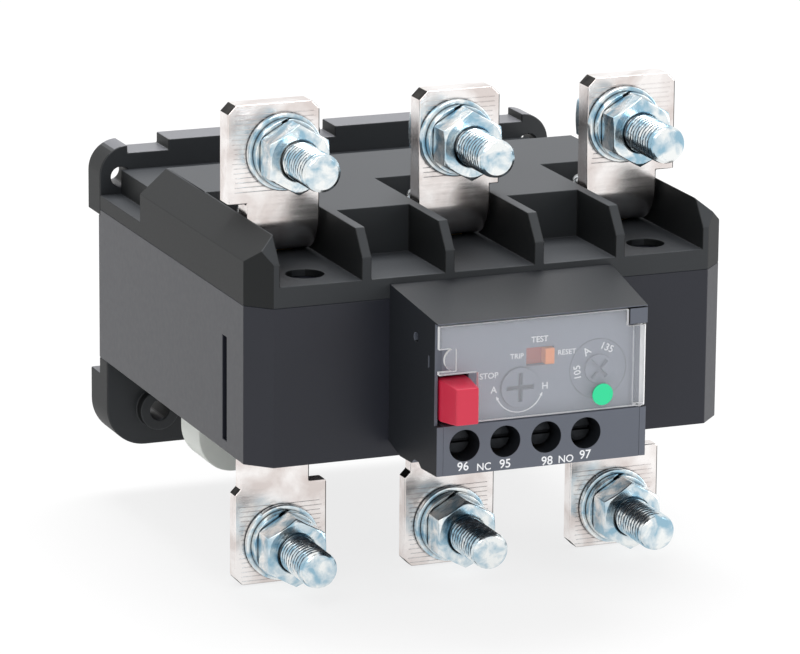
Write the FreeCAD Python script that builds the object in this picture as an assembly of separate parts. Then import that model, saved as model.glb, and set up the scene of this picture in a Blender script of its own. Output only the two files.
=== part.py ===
import FreeCAD, Part
import math
import os

os.makedirs("parts", exist_ok=True)

V = FreeCAD.Vector

# All lengths are millimetres.
# Shapes are drawn from the front face of the case (y = 0, +Y to the rear), its middle (x = 0)
# and the joint between base and cover (z = 0). Saving moves them to the mounting face's centre.

# Case
CASE_WIDTH = 132.0
COVER_DEPTH = 117.0
BASE_PAST_COVER = 1.3
BASE_DEPTH = COVER_DEPTH + BASE_PAST_COVER
BASE_HEIGHT = 41.5
COVER_RISE = 18.0
CASE_WALL = 2.5
CUT_REACH = 5.0
CORNER_WIDTH = 5.9
CORNER_DEPTH = 6.0
SHOULDER_WIDTH = 7.5
SHOULDER_DROP = 6.5
POLE_MARGIN = 18.6
PARTITION_WALL = 2.0
SLIT_DEPTH = 18.2
SLIT_WIDTH = 3.0
SLIT_TOP = -11.2
SLIT_BOTTOM = -38.7

# Terminal wells and bays of the cover
WELL_WIDTH = 22.0
WELL_DEPTH = 54.7
WELL_FLOOR = 5.5
WELL_FLOOR_WALL = 2.0
RIB_WALL = 2.7
BAY_DEPTH = 24.3
NOSE_RISE = 11.3
NOSE_RUN = 5.0
PLATEAU_DEPTH = 84.5
BACK_STEP_RISE = 10.6
LEDGE_RISE = 4.0
LEDGE_WIDTH = 6.0
ACCESS_HOLE_RADIUS = 4.9
ACCESS_HOLE_DEPTH = 11.4
MOUNT_BORE_RADIUS = 2.75
MOUNT_TUBE_RADIUS = 6.5

# Rear plate
PLATE_THICKNESS = 10.0
PLATE_INSET = 4.5
PLATE_CLEARANCE = 0.5
PLATE_NOTCH_RISE = 15.1
PLATE_BLOCK_RISE = 18.0
PLATE_BLOCK_INNER = 2.2
PLATE_BLOCK_INSET = 19.7
EAR_RADIUS = 8.0
EAR_ROOT = 5.0
EAR_RISE = 17.2
EAR_BOTTOM = -1.6
LOWER_EAR_TOP = -46.0
LOWER_EAR_BOTTOM = -65.7
LOWER_EAR_CORNER = 11.0
LOWER_EAR_SETBACK = 1.5
LOWER_EAR_FRONT = 5.0
PLATE_HOLE_RADIUS = 2.75
UPPER_HOLE_INSET = 6.0
UPPER_HOLE_Z = 8.6
LOWER_HOLE_INSET = 14.2
LOWER_HOLE_Z = -55.6
BOSS_RADIUS = 5.6
BOSS_LENGTH = 3.0
POCKET_DEPTH = 6.5
POCKET_WIDTH = 36.0
POCKET_GAP = 4.8
POCKET_HEIGHT = 15.0
POCKET_RISE = 16.0
MOUNT_CENTRE_Z = -24.0

# Feet under the outer poles
FOOT_DEPTH = 62.3
FOOT_LENGTH = 14.2
FOOT_INSET = 8.5
FOOT_WIDTH = 18.5
FOOT_DROP = 19.0
FOOT_CORNER = 10.0
FOOT_WALL = 2.4

# Upper terminal bars
TOP_BAR_FRONT = 27.0
TOP_BAR_THICKNESS = 6.0
NECK_WIDTH = 20.0
TOP_LUG_WIDTH = 25.0
MID_LUG_WIDTH = 22.5
TOP_BAR_RISE = 46.6
TOP_LUG_HEIGHT = 25.8
BEND_RADIUS = 4.0
TAB_CLEARANCE = 0.5
TAB_REACH = 25.5
LUG_CORNER = 2.2
TOP_BOLT_RISE = 34.0

# Lower terminal bars
LOW_BAR_FRONT = 28.0
LOW_BAR_THICKNESS = 4.0
LOW_LUG_WIDTH = 25.4
LOW_NECK_LEFT_INSET = 1.6
LOW_NECK_RIGHT_INSET = 4.8
LOW_LUG_TOP = -54.4
LOW_BAR_BOTTOM = -81.0
LOW_BOLT_Z = -70.0
LOW_TAB_TOP = -30.0
LOW_TAB_REACH = 42.0
SLOT_CLEARANCE = 0.3

# M10 terminal hardware
BOLT_RADIUS = 5.0
BOLT_TIP_RADIUS = 4.1
BOLT_PITCH_RADIUS = 4.5
THREAD_RUNOUT = 0.3
BOLT_REACH = 28.0
BOLT_HEAD_FLATS = 16.0
BOLT_HEAD_HEIGHT = 6.4
BOLT_FIT = 0.05
FLAT_WASHER_RADIUS = 10.1
FLAT_WASHER_THICKNESS = 2.0
SPRING_WASHER_RADIUS = 9.0
SPRING_WASHER_THICKNESS = 2.4
SPRING_WASHER_GAP = 1.6
NUT_FLATS = 16.0
NUT_HEIGHT = 8.0
NUT_MOUTH_DEPTH = 0.8
NUT_MOUTH_FLARE = 0.8

# Screws that hold the upper bars in the wells
TAB_SCREW_DEPTH = 45.0
TAB_SCREW_RADIUS = 3.0
TAB_SCREW_HEAD_RADIUS = 5.5
TAB_SCREW_HEAD_HEIGHT = 4.0
TAB_SCREW_LENGTH = 12.0
SCREW_FIT = 0.05

# Heater and bimetal of each pole
CONNECTOR_HALF_WIDTH = 7.0
CONNECTOR_FRONT = 38.0
CONNECTOR_REAR = 52.0
CONNECTOR_DROP = 4.0
CONNECTOR_ARM_REAR = 70.0
CONNECTOR_ARM_HALF_WIDTH = 3.0
CONNECTOR_GAP = 1.0
BIMETAL_FRONT = 60.0
BIMETAL_REAR = 68.0
BIMETAL_THICKNESS = 1.2
BIMETAL_TOP = -6.0
HEATER_OFFSET = 1.0
HEATER_THICKNESS = 0.8
HEATER_STRIP = 1.6
HEATER_ROWS = 4
HEATER_TOP = -14.0
HEATER_LEAD_FRONT = 55.0
HEATER_LEAD_REAR = 57.5

# Trip bar
TRIP_BAR_INSET = 9.0
TRIP_BAR_FRONT = 70.0
TRIP_BAR_REAR = 74.0
TRIP_BAR_TOP = -8.5
TRIP_BAR_BOTTOM = -12.0
TRIP_TRAVEL = 2.0
TRIP_GAP = 0.4
GUIDE_CLEARANCE = 0.3
FINGER_LENGTH = 9.0
FINGER_WIDTH = 2.0
ARM_LEFT = 14.0
ARM_RIGHT = 18.0
ARM_FRONT = -9.0

# Case screws
CASE_SCREW_INSET = 7.0
CASE_SCREW_FRONT = 12.0
CASE_SCREW_REAR = 104.0
CASE_POST_RADIUS = 3.6
CASE_SCREW_RADIUS = 1.75
CASE_SCREW_HEAD_RADIUS = 3.0
CASE_SCREW_HEAD_HEIGHT = 2.2
CASE_SCREW_SINK = 3.4
CASE_SCREW_BITE = 2.0

# Control housing
MODULE_FRONT = 27.3
MODULE_LEFT_REAR = -28.8
MODULE_LEFT_FRONT = -26.9
MODULE_RIGHT_REAR = 32.5
MODULE_RIGHT_FRONT = 30.5
MODULE_TOP_REAR = 3.9
MODULE_TOP_FRONT = -0.2
MODULE_BOTTOM = -39.7
MODULE_BOTTOM_REAR = -37.2
MODULE_STEP_NEAR = 13.2
MODULE_STEP_FAR = 18.6
MODULE_STEP = 1.3
MODULE_WALL = 1.8
MODULE_THIN_WALL = 0.8
FRAME_SETBACK = 1.5
SIDE_HOLE_RADIUS = 1.3
SIDE_HOLE_FRONT = 15.2
SIDE_HOLE_Z = -6.3
SIDE_SLOT_FRONT = 22.9
SIDE_SLOT_WIDTH = 0.8
SIDE_SLOT_BOTTOM = -12.6
SIDE_SLOT_HEIGHT = 3.2
SPLIT_Z = -26.8
CABLE_WINDOW_LEFT = -22.0
CABLE_WINDOW_RIGHT = 26.0
CABLE_WINDOW_TOP = -4.0
CABLE_WINDOW_BOTTOM = -34.0

# Terminal block of the control housing
TERMINAL_X = (-19.3, -8.2, 3.0, 13.9)
TERMINAL_Z = -32.2
TERMINAL_HOLE_RADIUS = 4.1
TERMINAL_BLOCK_REAR = 17.8
TERMINAL_SEAT = 20.2
WIRE_ENTRY_HALF_WIDTH = 3.0
STRIP_THICKNESS = 1.2
STRIP_HALF_WIDTH = 3.0
STRIP_DROP = 4.1
STRIP_RISE = 4.5
RISER_HALF_WIDTH = 1.0
RISER_OFFSET = 1.4
TERMINAL_SCREW_HEAD_RADIUS = 3.3
TERMINAL_SCREW_HEAD_HEIGHT = 2.2
TERMINAL_SCREW_RADIUS = 1.7
TERMINAL_SCREW_END = 15.4
TERMINAL_SLOT_WIDTH = 0.9
CLAMP_HALF_WIDTH = 2.7
CLAMP_HALF_HEIGHT = 2.9
CLAMP_THICKNESS = 0.8

# Face plate and operating parts
FACE_FRONT = 24.6
FACE_THICKNESS = 1.5
DIAL_PROUD = 0.7
DIAL_FIT = 0.08
MODE_DIAL_X = -3.4
MODE_DIAL_Z = -19.2
MODE_DIAL_RADIUS = 5.2
MODE_SHAFT_RADIUS = 2.0
CURRENT_DIAL_X = 18.1
CURRENT_DIAL_Z = -16.3
CURRENT_DIAL_RADIUS = 7.7
CURRENT_HUB_RADIUS = 3.75
CURRENT_CAM_RADIUS = 5.0
CURRENT_CAM_OFFSET = 1.4
DIAL_SHAFT_END = 17.2
DIAL_SLOT_WIDTH = 1.1
DIAL_SLOT_DEPTH = 0.9
WINDOW_LEFT = -1.6
WINDOW_RIGHT = 6.0
WINDOW_TOP = -9.3
WINDOW_BOTTOM = -14.0
SLIDER_TRAVEL = 4.5
SLIDER_OVERLAP = 1.3
SLIDER_THICKNESS = 1.4
KNOB_WIDTH = 2.5
KNOB_PROUD = 1.0

# Stop button
STOP_LEFT = -25.7
STOP_RIGHT = -17.8
STOP_TOP = -14.9
STOP_BOTTOM = -25.6
STOP_FRONT = 34.4
STOP_REAR = 22.0
STOP_TAPER = 1.1
STOP_TRAVEL = 3.0
STOP_STEM_RADIUS = 1.6
STOP_STEM_END = 13.8
STOP_GUIDE_REAR = 15.0
STOP_GUIDE_THICKNESS = 1.5
STOP_GUIDE_HALF = 4.0
SPRING_COIL_RADIUS = 2.6
SPRING_WIRE_RADIUS = 0.35
SPRING_TURNS = 4

# Clear cover
COVER_LENS_FRONT = 27.5
LENS_THICKNESS = 1.3
LENS_LEFT = -26.5
LENS_TOP = -0.9
LENS_BOTTOM = -26.4
LENS_STOP_RIGHT = -15.9
LENS_STOP_TOP = -13.5
GRIP_RIGHT = -21.9
GRIP_TOP = -6.9
GRIP_BOTTOM = -12.6
HINGE_X = 28.9
HINGE_RADIUS = 1.6
HINGE_TOP = -5.3
HINGE_PIN_RADIUS = 0.8
HINGE_PIN_LENGTH = 1.5
HINGE_FIT = 0.05
CORNER_BLOCK_LEFT = 25.6
CORNER_BLOCK_BOTTOM = -4.9
LATCH_WIDTH = 3.0
LATCH_HEIGHT = 1.1
SEAL_X = 18.2
SEAL_Z = -22.4
SEAL_RADIUS = 2.8
SEAL_THICKNESS = 0.3

# Trip mechanism in the control housing
FRAME_THICKNESS = 1.8
FRAME_MARGIN = 2.6
PIVOT_RADIUS = 1.5
PIVOT_FIT = 0.05
HUB_RADIUS = 3.0
LEVER_X = 24.0
LEVER_Z = -22.0
LEVER_FRONT = 9.0
LEVER_REAR = 5.0
LEVER_NOSE_TOP = -8.0
LEVER_NOSE_BOTTOM = -11.0
LEVER_TAIL_TOP = -28.5
LEVER_TAIL_BOTTOM = -31.0
LEVER_HALF_WIDTH = 1.5
ROCKER_X = 2.0
ROCKER_Z = -20.0
ROCKER_FRONT = 15.0
ROCKER_REAR = 10.5
ROCKER_ARM = 14.0
ROCKER_ARM_HALF = 1.0
ROCKER_TAIL_BOTTOM = -30.0
ROCKER_TAIL_HALF = 1.2
MESH_GAP = 0.5
PEG_WIDTH = 2.3
CONTACT_WIDTH = 2.4
CONTACT_HEIGHT = 1.0
CLOSED_GAP = 0.4
OPEN_DROP = 2.3
TONGUE_WIDTH = 1.0
TONGUE_HEIGHT = 1.0

HALF = CASE_WIDTH / 2
POLE_PITCH = HALF - POLE_MARGIN
POLES = (-POLE_PITCH, 0.0, POLE_PITCH)
REAR_FACE = COVER_DEPTH + PLATE_THICKNESS
PLATE_MID_HALF_WIDTH = HALF - PLATE_INSET
CASE_SCREW_X = HALF - CASE_SCREW_INSET
FOOT_OUTER = HALF - FOOT_INSET
FACE_REAR = FACE_FRONT - FACE_THICKNESS


def block(x0, x1, y0, y1, z0, z1):
    return Part.makeBox(x1 - x0, y1 - y0, z1 - z0, V(x0, y0, z0))


def rod_y(x, z, y0, y1, radius):
    return Part.makeCylinder(radius, y1 - y0, V(x, y0, z), V(0, 1, 0))


def rod_z(x, y, z0, z1, radius):
    return Part.makeCylinder(radius, z1 - z0, V(x, y, z0), V(0, 0, 1))


def cone_y(x, z, y0, y1, r0, r1):
    return Part.makeCone(r0, r1, y1 - y0, V(x, y0, z), V(0, 1, 0))


def polygon_prism(points, direction):
    wire = Part.makePolygon(points + [points[0]])
    return Part.Face(wire).extrude(direction)


def prism_x(points, x0, x1):
    return polygon_prism([V(x0, y, z) for y, z in points], V(x1 - x0, 0, 0))


def prism_y(points, y0, y1):
    return polygon_prism([V(x, y0, z) for x, z in points], V(0, y1 - y0, 0))


def prism_z(points, z0, z1):
    return polygon_prism([V(x, y, z0) for x, y in points], V(0, 0, z1 - z0))


def join(shapes):
    return shapes[0].fuse(shapes[1:]).removeSplitter()


def both_sides(shape):
    return [shape, shape.mirror(V(0, 0, 0), V(1, 0, 0))]


def save(name, shape):
    moved = shape.copy()
    moved.translate(V(0, -REAR_FACE, -MOUNT_CENTRE_Z))
    moved.exportStep("parts/" + name + ".step")


def corner_bevels(z0, z1):
    corner = prism_z([(HALF - CORNER_WIDTH, -1), (HALF + 1, -1), (HALF + 1, CORNER_DEPTH),
                      (HALF, CORNER_DEPTH), (HALF - CORNER_WIDTH, 0)], z0, z1)
    return both_sides(corner)


# ---- base of the case ----

def base_housing():
    body = block(-HALF, HALF, 0, BASE_DEPTH, -BASE_HEIGHT, 0)
    cuts = corner_bevels(-BASE_HEIGHT - 1, 1)
    inner_rear = COVER_DEPTH - CASE_WALL
    floor = -BASE_HEIGHT + CASE_WALL
    hollow = block(-HALF + CASE_WALL, HALF - CASE_WALL, CASE_WALL, inner_rear, floor, 1)
    for bevel in both_sides(prism_z([(HALF - CASE_WALL - CORNER_WIDTH, CASE_WALL - 1),
                                     (HALF, CASE_WALL - 1), (HALF, CASE_WALL + CORNER_DEPTH),
                                     (HALF - CASE_WALL, CASE_WALL + CORNER_DEPTH),
                                     (HALF - CASE_WALL - CORNER_WIDTH, CASE_WALL)], floor - 1, 2)):
        hollow = hollow.cut(bevel)
    cuts.append(hollow)
    plate_room = PLATE_MID_HALF_WIDTH + PLATE_CLEARANCE
    cuts.append(block(-plate_room, plate_room, COVER_DEPTH, BASE_DEPTH + 1, -BASE_HEIGHT - 1, 1))
    cuts.append(block(-HALF - 1, HALF + 1, COVER_DEPTH, BASE_DEPTH + 1, EAR_BOTTOM, 1))
    cuts.append(block(CABLE_WINDOW_LEFT, CABLE_WINDOW_RIGHT, -1, CASE_WALL + 1,
                      CABLE_WINDOW_BOTTOM, CABLE_WINDOW_TOP))
    cuts.append(block(-HALF - 1, -HALF + CASE_WALL + 1, SLIT_DEPTH, SLIT_DEPTH + SLIT_WIDTH,
                      SLIT_BOTTOM, SLIT_TOP))
    cuts.append(block(HALF - CASE_WALL - 1, HALF + 1, SLIT_DEPTH, SLIT_DEPTH + SLIT_WIDTH,
                      SLIT_BOTTOM, SLIT_TOP))
    body = body.cut(cuts)
    additions = []
    for side in (-1, 1):
        middle = side * POLE_PITCH / 2
        wall = block(middle - PARTITION_WALL / 2, middle + PARTITION_WALL / 2, CASE_WALL / 2,
                     inner_rear + CASE_WALL / 2, floor - 0.5, -0.5)
        additions.append(wall.cut(trip_bar_passage(middle)))
        for depth in (CASE_SCREW_FRONT, CASE_SCREW_REAR):
            x = side * CASE_SCREW_X
            additions.append(rod_z(x, depth, floor - 0.5, 0, CASE_POST_RADIUS))
            web = block(min(x, side * (HALF - 1)), max(x, side * (HALF - 1)), depth - 1,
                        depth + 1, floor - 0.5, -0.5)
            additions.append(web)
        tube = rod_z(side * POLE_PITCH, ACCESS_HOLE_DEPTH, floor - 0.5,
                     WELL_FLOOR - WELL_FLOOR_WALL, MOUNT_TUBE_RADIUS)
        additions.append(tube)
    body = join([body] + additions)
    return body.cut(base_holes())


def trip_bar_passage(middle):
    reach = PARTITION_WALL + 2
    return block(middle - reach, middle + reach, TRIP_BAR_FRONT - GUIDE_CLEARANCE,
                 TRIP_BAR_REAR + GUIDE_CLEARANCE, TRIP_BAR_BOTTOM - GUIDE_CLEARANCE,
                 TRIP_BAR_TOP + GUIDE_CLEARANCE)


def base_holes():
    holes = []
    for x in (-POLE_PITCH, POLE_PITCH):
        holes.append(rod_z(x, ACCESS_HOLE_DEPTH, -BASE_HEIGHT - 1, WELL_FLOOR, MOUNT_BORE_RADIUS))
    for pole in POLES:
        left, right = low_neck_span(pole)
        holes.append(block(left - SLOT_CLEARANCE, right + SLOT_CLEARANCE,
                           LOW_BAR_FRONT - SLOT_CLEARANCE,
                           LOW_BAR_FRONT + LOW_BAR_THICKNESS + SLOT_CLEARANCE,
                           -BASE_HEIGHT - 1, -BASE_HEIGHT + CASE_WALL + 1))
    for x, y in case_screw_places():
        holes.append(rod_z(x, y, -BASE_HEIGHT - 1, 1, CASE_SCREW_RADIUS + SCREW_FIT))
        holes.append(rod_z(x, y, -BASE_HEIGHT - 1, -BASE_HEIGHT + CASE_SCREW_SINK,
                           CASE_SCREW_HEAD_RADIUS + SCREW_FIT))
    return holes


def case_screw_places():
    return [(x, y) for x in (-CASE_SCREW_X, CASE_SCREW_X)
            for y in (CASE_SCREW_FRONT, CASE_SCREW_REAR)]


# ---- cover of the case ----

def cover_outline():
    body = block(-HALF, HALF, 0, COVER_DEPTH, 0, COVER_RISE)
    cuts = corner_bevels(-1, COVER_RISE + 1)
    shoulder = prism_y([(HALF - SHOULDER_WIDTH, COVER_RISE), (HALF, COVER_RISE - SHOULDER_DROP),
                        (HALF + 1, COVER_RISE - SHOULDER_DROP), (HALF + 1, COVER_RISE + 1),
                        (HALF - SHOULDER_WIDTH, COVER_RISE + 1)], -1, COVER_DEPTH + 1)
    cuts += both_sides(shoulder)
    cuts.append(prism_x([(0, NOSE_RISE), (NOSE_RUN, COVER_RISE), (NOSE_RUN, COVER_RISE + 1),
                         (-1, COVER_RISE + 1), (-1, NOSE_RISE)], -HALF - 1, HALF + 1))
    step = HALF - LEDGE_WIDTH
    cuts.append(block(-step, step, PLATEAU_DEPTH, COVER_DEPTH + 1, BACK_STEP_RISE, COVER_RISE + 1))
    ledge = block(step, HALF + 1, PLATEAU_DEPTH, COVER_DEPTH + 1, LEDGE_RISE, COVER_RISE + 1)
    cuts += both_sides(ledge)
    return body.cut(cuts)


def cover_wells():
    cuts = []
    for pole in POLES:
        cuts.append(block(pole - WELL_WIDTH / 2, pole + WELL_WIDTH / 2, -1, WELL_DEPTH,
                          WELL_FLOOR, COVER_RISE + 1))
    inner = WELL_WIDTH / 2 + RIB_WALL
    outer = POLE_PITCH - inner
    cuts += both_sides(block(inner, outer, -1, BAY_DEPTH, WELL_FLOOR, COVER_RISE + 1))
    return cuts


def cover_hollows():
    roof = COVER_RISE - CASE_WALL
    side = HALF - CASE_WALL
    under_floor = block(-side, side, CASE_WALL, PLATEAU_DEPTH - CASE_WALL, -1,
                        WELL_FLOOR - WELL_FLOOR_WALL)
    for bevel in corner_bevels(-2, WELL_FLOOR):
        moved = bevel.copy()
        moved.translate(V(0, CASE_WALL, 0))
        inward = -CASE_WALL if moved.BoundBox.Center.x > 0 else CASE_WALL
        moved.translate(V(inward, 0, 0))
        under_floor = under_floor.cut(moved)
    back = block(-HALF + LEDGE_WIDTH + CASE_WALL, HALF - LEDGE_WIDTH - CASE_WALL,
                 PLATEAU_DEPTH - CASE_WALL - 0.01, COVER_DEPTH - CASE_WALL, -1,
                 BACK_STEP_RISE - CASE_WALL)
    behind_wells = block(-HALF + SHOULDER_WIDTH + CASE_WALL, HALF - SHOULDER_WIDTH - CASE_WALL,
                         WELL_DEPTH + CASE_WALL, PLATEAU_DEPTH - CASE_WALL, -1, roof)
    inner = WELL_WIDTH / 2 + RIB_WALL
    outer = POLE_PITCH - inner
    between = both_sides(block(inner, outer, BAY_DEPTH + CASE_WALL,
                               WELL_DEPTH + CASE_WALL + 0.01, -1, roof))
    return [under_floor, back, behind_wells] + between


def top_cover():
    body = cover_outline()
    cuts = cover_wells() + cover_hollows()
    for x in (-POLE_PITCH, POLE_PITCH):
        cuts.append(rod_z(x, ACCESS_HOLE_DEPTH, -1, WELL_FLOOR + 1, ACCESS_HOLE_RADIUS))
    for pole in POLES:
        cuts.append(block(pole - CONNECTOR_HALF_WIDTH - CONNECTOR_GAP,
                          pole + CONNECTOR_HALF_WIDTH + CONNECTOR_GAP,
                          CONNECTOR_FRONT - CONNECTOR_GAP, CONNECTOR_REAR + CONNECTOR_GAP,
                          -1, WELL_FLOOR + 1))
    body = body.cut(cuts)
    posts = [rod_z(x, y, 0, WELL_FLOOR - WELL_FLOOR_WALL + 0.5, CASE_POST_RADIUS)
             for x, y in case_screw_places()]
    body = join([body] + [post.common(cover_outline()) for post in posts])
    drilled = [rod_z(x, y, -1, CASE_SCREW_BITE + 0.2, CASE_SCREW_RADIUS + SCREW_FIT)
               for x, y in case_screw_places()]
    return body.cut(drilled)


def case_screws():
    screws = []
    for x, y in case_screw_places():
        seat = -BASE_HEIGHT + CASE_SCREW_SINK
        head = rod_z(x, y, seat - CASE_SCREW_HEAD_HEIGHT, seat, CASE_SCREW_HEAD_RADIUS)
        shank = rod_z(x, y, seat - 0.5, CASE_SCREW_BITE, CASE_SCREW_RADIUS)
        recess = block(x - 1.8, x + 1.8, y - 0.4, y + 0.4, seat - CASE_SCREW_HEAD_HEIGHT - 1,
                       seat - CASE_SCREW_HEAD_HEIGHT + 1)
        screws.append(join([head, shank]).cut(recess))
    return Part.makeCompound(screws)


# ---- rear plate and feet ----

def rear_plate():
    front = COVER_DEPTH
    middle = block(-PLATE_MID_HALF_WIDTH, PLATE_MID_HALF_WIDTH, front, REAR_FACE,
                   LOWER_EAR_TOP - 1, PLATE_NOTCH_RISE)
    pieces = [middle]
    pieces += both_sides(block(PLATE_BLOCK_INNER, HALF - PLATE_BLOCK_INSET, front, REAR_FACE,
                               PLATE_NOTCH_RISE - CUT_REACH, PLATE_BLOCK_RISE))
    pieces += both_sides(upper_ear(front))
    pieces += both_sides(lower_ear())
    pieces.append(block(-HALF + LOWER_EAR_CORNER, HALF - LOWER_EAR_CORNER,
                        front - LOWER_EAR_FRONT, REAR_FACE - LOWER_EAR_SETBACK,
                        LOWER_EAR_BOTTOM, -BASE_HEIGHT))
    pieces += both_sides(rod_y(HALF - LOWER_HOLE_INSET, LOWER_HOLE_Z, front - LOWER_EAR_FRONT - BOSS_LENGTH,
                               front, BOSS_RADIUS))
    plate = join(pieces)
    return plate.cut(plate_holes(front))


def upper_ear(front):
    inner = HALF - EAR_RADIUS
    turn_z = EAR_RISE - EAR_RADIUS
    crown = rod_y(inner, turn_z, front, REAR_FACE, EAR_RADIUS)
    crown = crown.common(block(inner, HALF, front, REAR_FACE, 0, EAR_RISE + 1))
    stem = block(PLATE_MID_HALF_WIDTH - EAR_ROOT, HALF, front, REAR_FACE, EAR_BOTTOM, turn_z)
    return join([stem, crown])


def lower_ear():
    rear = REAR_FACE - LOWER_EAR_SETBACK
    front = COVER_DEPTH - LOWER_EAR_FRONT
    inner = HALF - 2 * LOWER_EAR_CORNER
    under = block(inner, HALF, front, rear, LOWER_EAR_BOTTOM, -BASE_HEIGHT)
    outline = block(inner, HALF, front, rear, LOWER_EAR_BOTTOM + LOWER_EAR_CORNER,
                    -BASE_HEIGHT + 1)
    turn = rod_y(HALF - LOWER_EAR_CORNER, LOWER_EAR_BOTTOM + LOWER_EAR_CORNER, front, rear,
                 LOWER_EAR_CORNER)
    inside = block(inner, HALF - LOWER_EAR_CORNER, front, rear, LOWER_EAR_BOTTOM,
                   -BASE_HEIGHT + 1)
    under = under.common(join([outline, turn, inside]))
    above = block(PLATE_MID_HALF_WIDTH, HALF + 1, BASE_DEPTH, rear + 1, LOWER_EAR_TOP, 0)
    return under.cut(above)


def plate_holes(front):
    holes = []
    for side in (-1, 1):
        holes.append(rod_y(side * (HALF - UPPER_HOLE_INSET), UPPER_HOLE_Z, front - 1,
                           REAR_FACE + 1, PLATE_HOLE_RADIUS))
        holes.append(rod_y(side * (HALF - LOWER_HOLE_INSET), LOWER_HOLE_Z, front
                           - LOWER_EAR_FRONT - BOSS_LENGTH - 1, REAR_FACE + 1,
                           PLATE_HOLE_RADIUS))
    pitch = POCKET_WIDTH + POCKET_GAP
    for x in (-pitch, 0.0, pitch):
        for rise in (-POCKET_RISE, POCKET_RISE):
            z = MOUNT_CENTRE_Z + rise
            holes.append(block(x - POCKET_WIDTH / 2, x + POCKET_WIDTH / 2,
                               REAR_FACE - POCKET_DEPTH, REAR_FACE + 1,
                               z - POCKET_HEIGHT / 2, z + POCKET_HEIGHT / 2))
    return holes


def foot(side):
    outer = FOOT_OUTER
    inner = outer - FOOT_WIDTH
    rear = FOOT_DEPTH + FOOT_LENGTH
    bottom = -BASE_HEIGHT - FOOT_DROP
    body = block(inner, outer - FOOT_CORNER, FOOT_DEPTH, rear, bottom, -BASE_HEIGHT)
    upper = block(inner, outer, FOOT_DEPTH, rear, bottom + FOOT_CORNER, -BASE_HEIGHT)
    turn = rod_y(outer - FOOT_CORNER, bottom + FOOT_CORNER, FOOT_DEPTH, rear, FOOT_CORNER)
    below = block(inner, outer + 1, FOOT_DEPTH, rear, bottom, -BASE_HEIGHT)
    shape = join([body, upper, turn]).common(below)
    pocket = block(inner + FOOT_WALL, outer - FOOT_CORNER / 2, FOOT_DEPTH + FOOT_WALL, rear + 1,
                   bottom + FOOT_CORNER / 2, -BASE_HEIGHT - FOOT_WALL)
    shape = shape.cut(pocket)
    if side < 0:
        shape = shape.mirror(V(0, 0, 0), V(1, 0, 0))
    return shape


# ---- main circuit ----

def hexagon_y(x, z, y0, y1, flats):
    radius = flats / math.sqrt(3)
    points = []
    for corner in range(6):
        angle = math.radians(60 * corner + 30)
        points.append((x + radius * math.cos(angle), z + radius * math.sin(angle)))
    prism = prism_y(points, y0, y1)
    low = cone_y(x, z, y0, y1, flats / 2 * 0.97, flats / 2 * 0.97 + (y1 - y0) * 1.7)
    high = cone_y(x, z, y0, y1, flats / 2 * 0.97 + (y1 - y0) * 1.7, flats / 2 * 0.97)
    return prism.common(low).common(high)


def top_bar(pole, left, right):
    lug_bottom = TOP_BAR_RISE - TOP_LUG_HEIGHT
    tab_bottom = WELL_FLOOR + TAB_CLEARANCE
    outer_bend = BEND_RADIUS + TOP_BAR_THICKNESS
    rear = TOP_BAR_FRONT + TOP_BAR_THICKNESS
    c = LUG_CORNER
    lug = prism_y([(left, lug_bottom), (right, lug_bottom), (right, TOP_BAR_RISE - c),
                   (right - c, TOP_BAR_RISE), (left + c, TOP_BAR_RISE),
                   (left, TOP_BAR_RISE - c)], TOP_BAR_FRONT, rear)
    half = NECK_WIDTH / 2
    neck = block(pole - half, pole + half, TOP_BAR_FRONT, rear, tab_bottom + outer_bend,
                 lug_bottom + 1)
    bend_y = TOP_BAR_FRONT + outer_bend
    bend_z = tab_bottom + outer_bend
    ring = Part.makeCylinder(outer_bend, NECK_WIDTH, V(pole - half, bend_y, bend_z), V(1, 0, 0))
    ring = ring.cut(Part.makeCylinder(BEND_RADIUS, NECK_WIDTH, V(pole - half, bend_y, bend_z),
                                      V(1, 0, 0)))
    ring = ring.common(block(pole - half, pole + half, TOP_BAR_FRONT, bend_y, tab_bottom, bend_z))
    tab = block(pole - half, pole + half, bend_y, TOP_BAR_FRONT + TAB_REACH, tab_bottom,
                tab_bottom + TOP_BAR_THICKNESS)
    bar = join([lug, neck, ring, tab])
    bolt_hole = rod_y(pole, TOP_BOLT_RISE, TOP_BAR_FRONT - 1, rear + 1, BOLT_RADIUS + BOLT_FIT)
    screw_hole = rod_z(pole, TAB_SCREW_DEPTH, tab_bottom - 1, tab_bottom + TOP_BAR_THICKNESS + 1,
                       TAB_SCREW_RADIUS + SCREW_FIT)
    return bar.cut([bolt_hole, screw_hole])


def low_neck_span(pole):
    left = pole - LOW_LUG_WIDTH / 2 + LOW_NECK_LEFT_INSET
    right = pole + LOW_LUG_WIDTH / 2 - LOW_NECK_RIGHT_INSET
    return left, right


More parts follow.
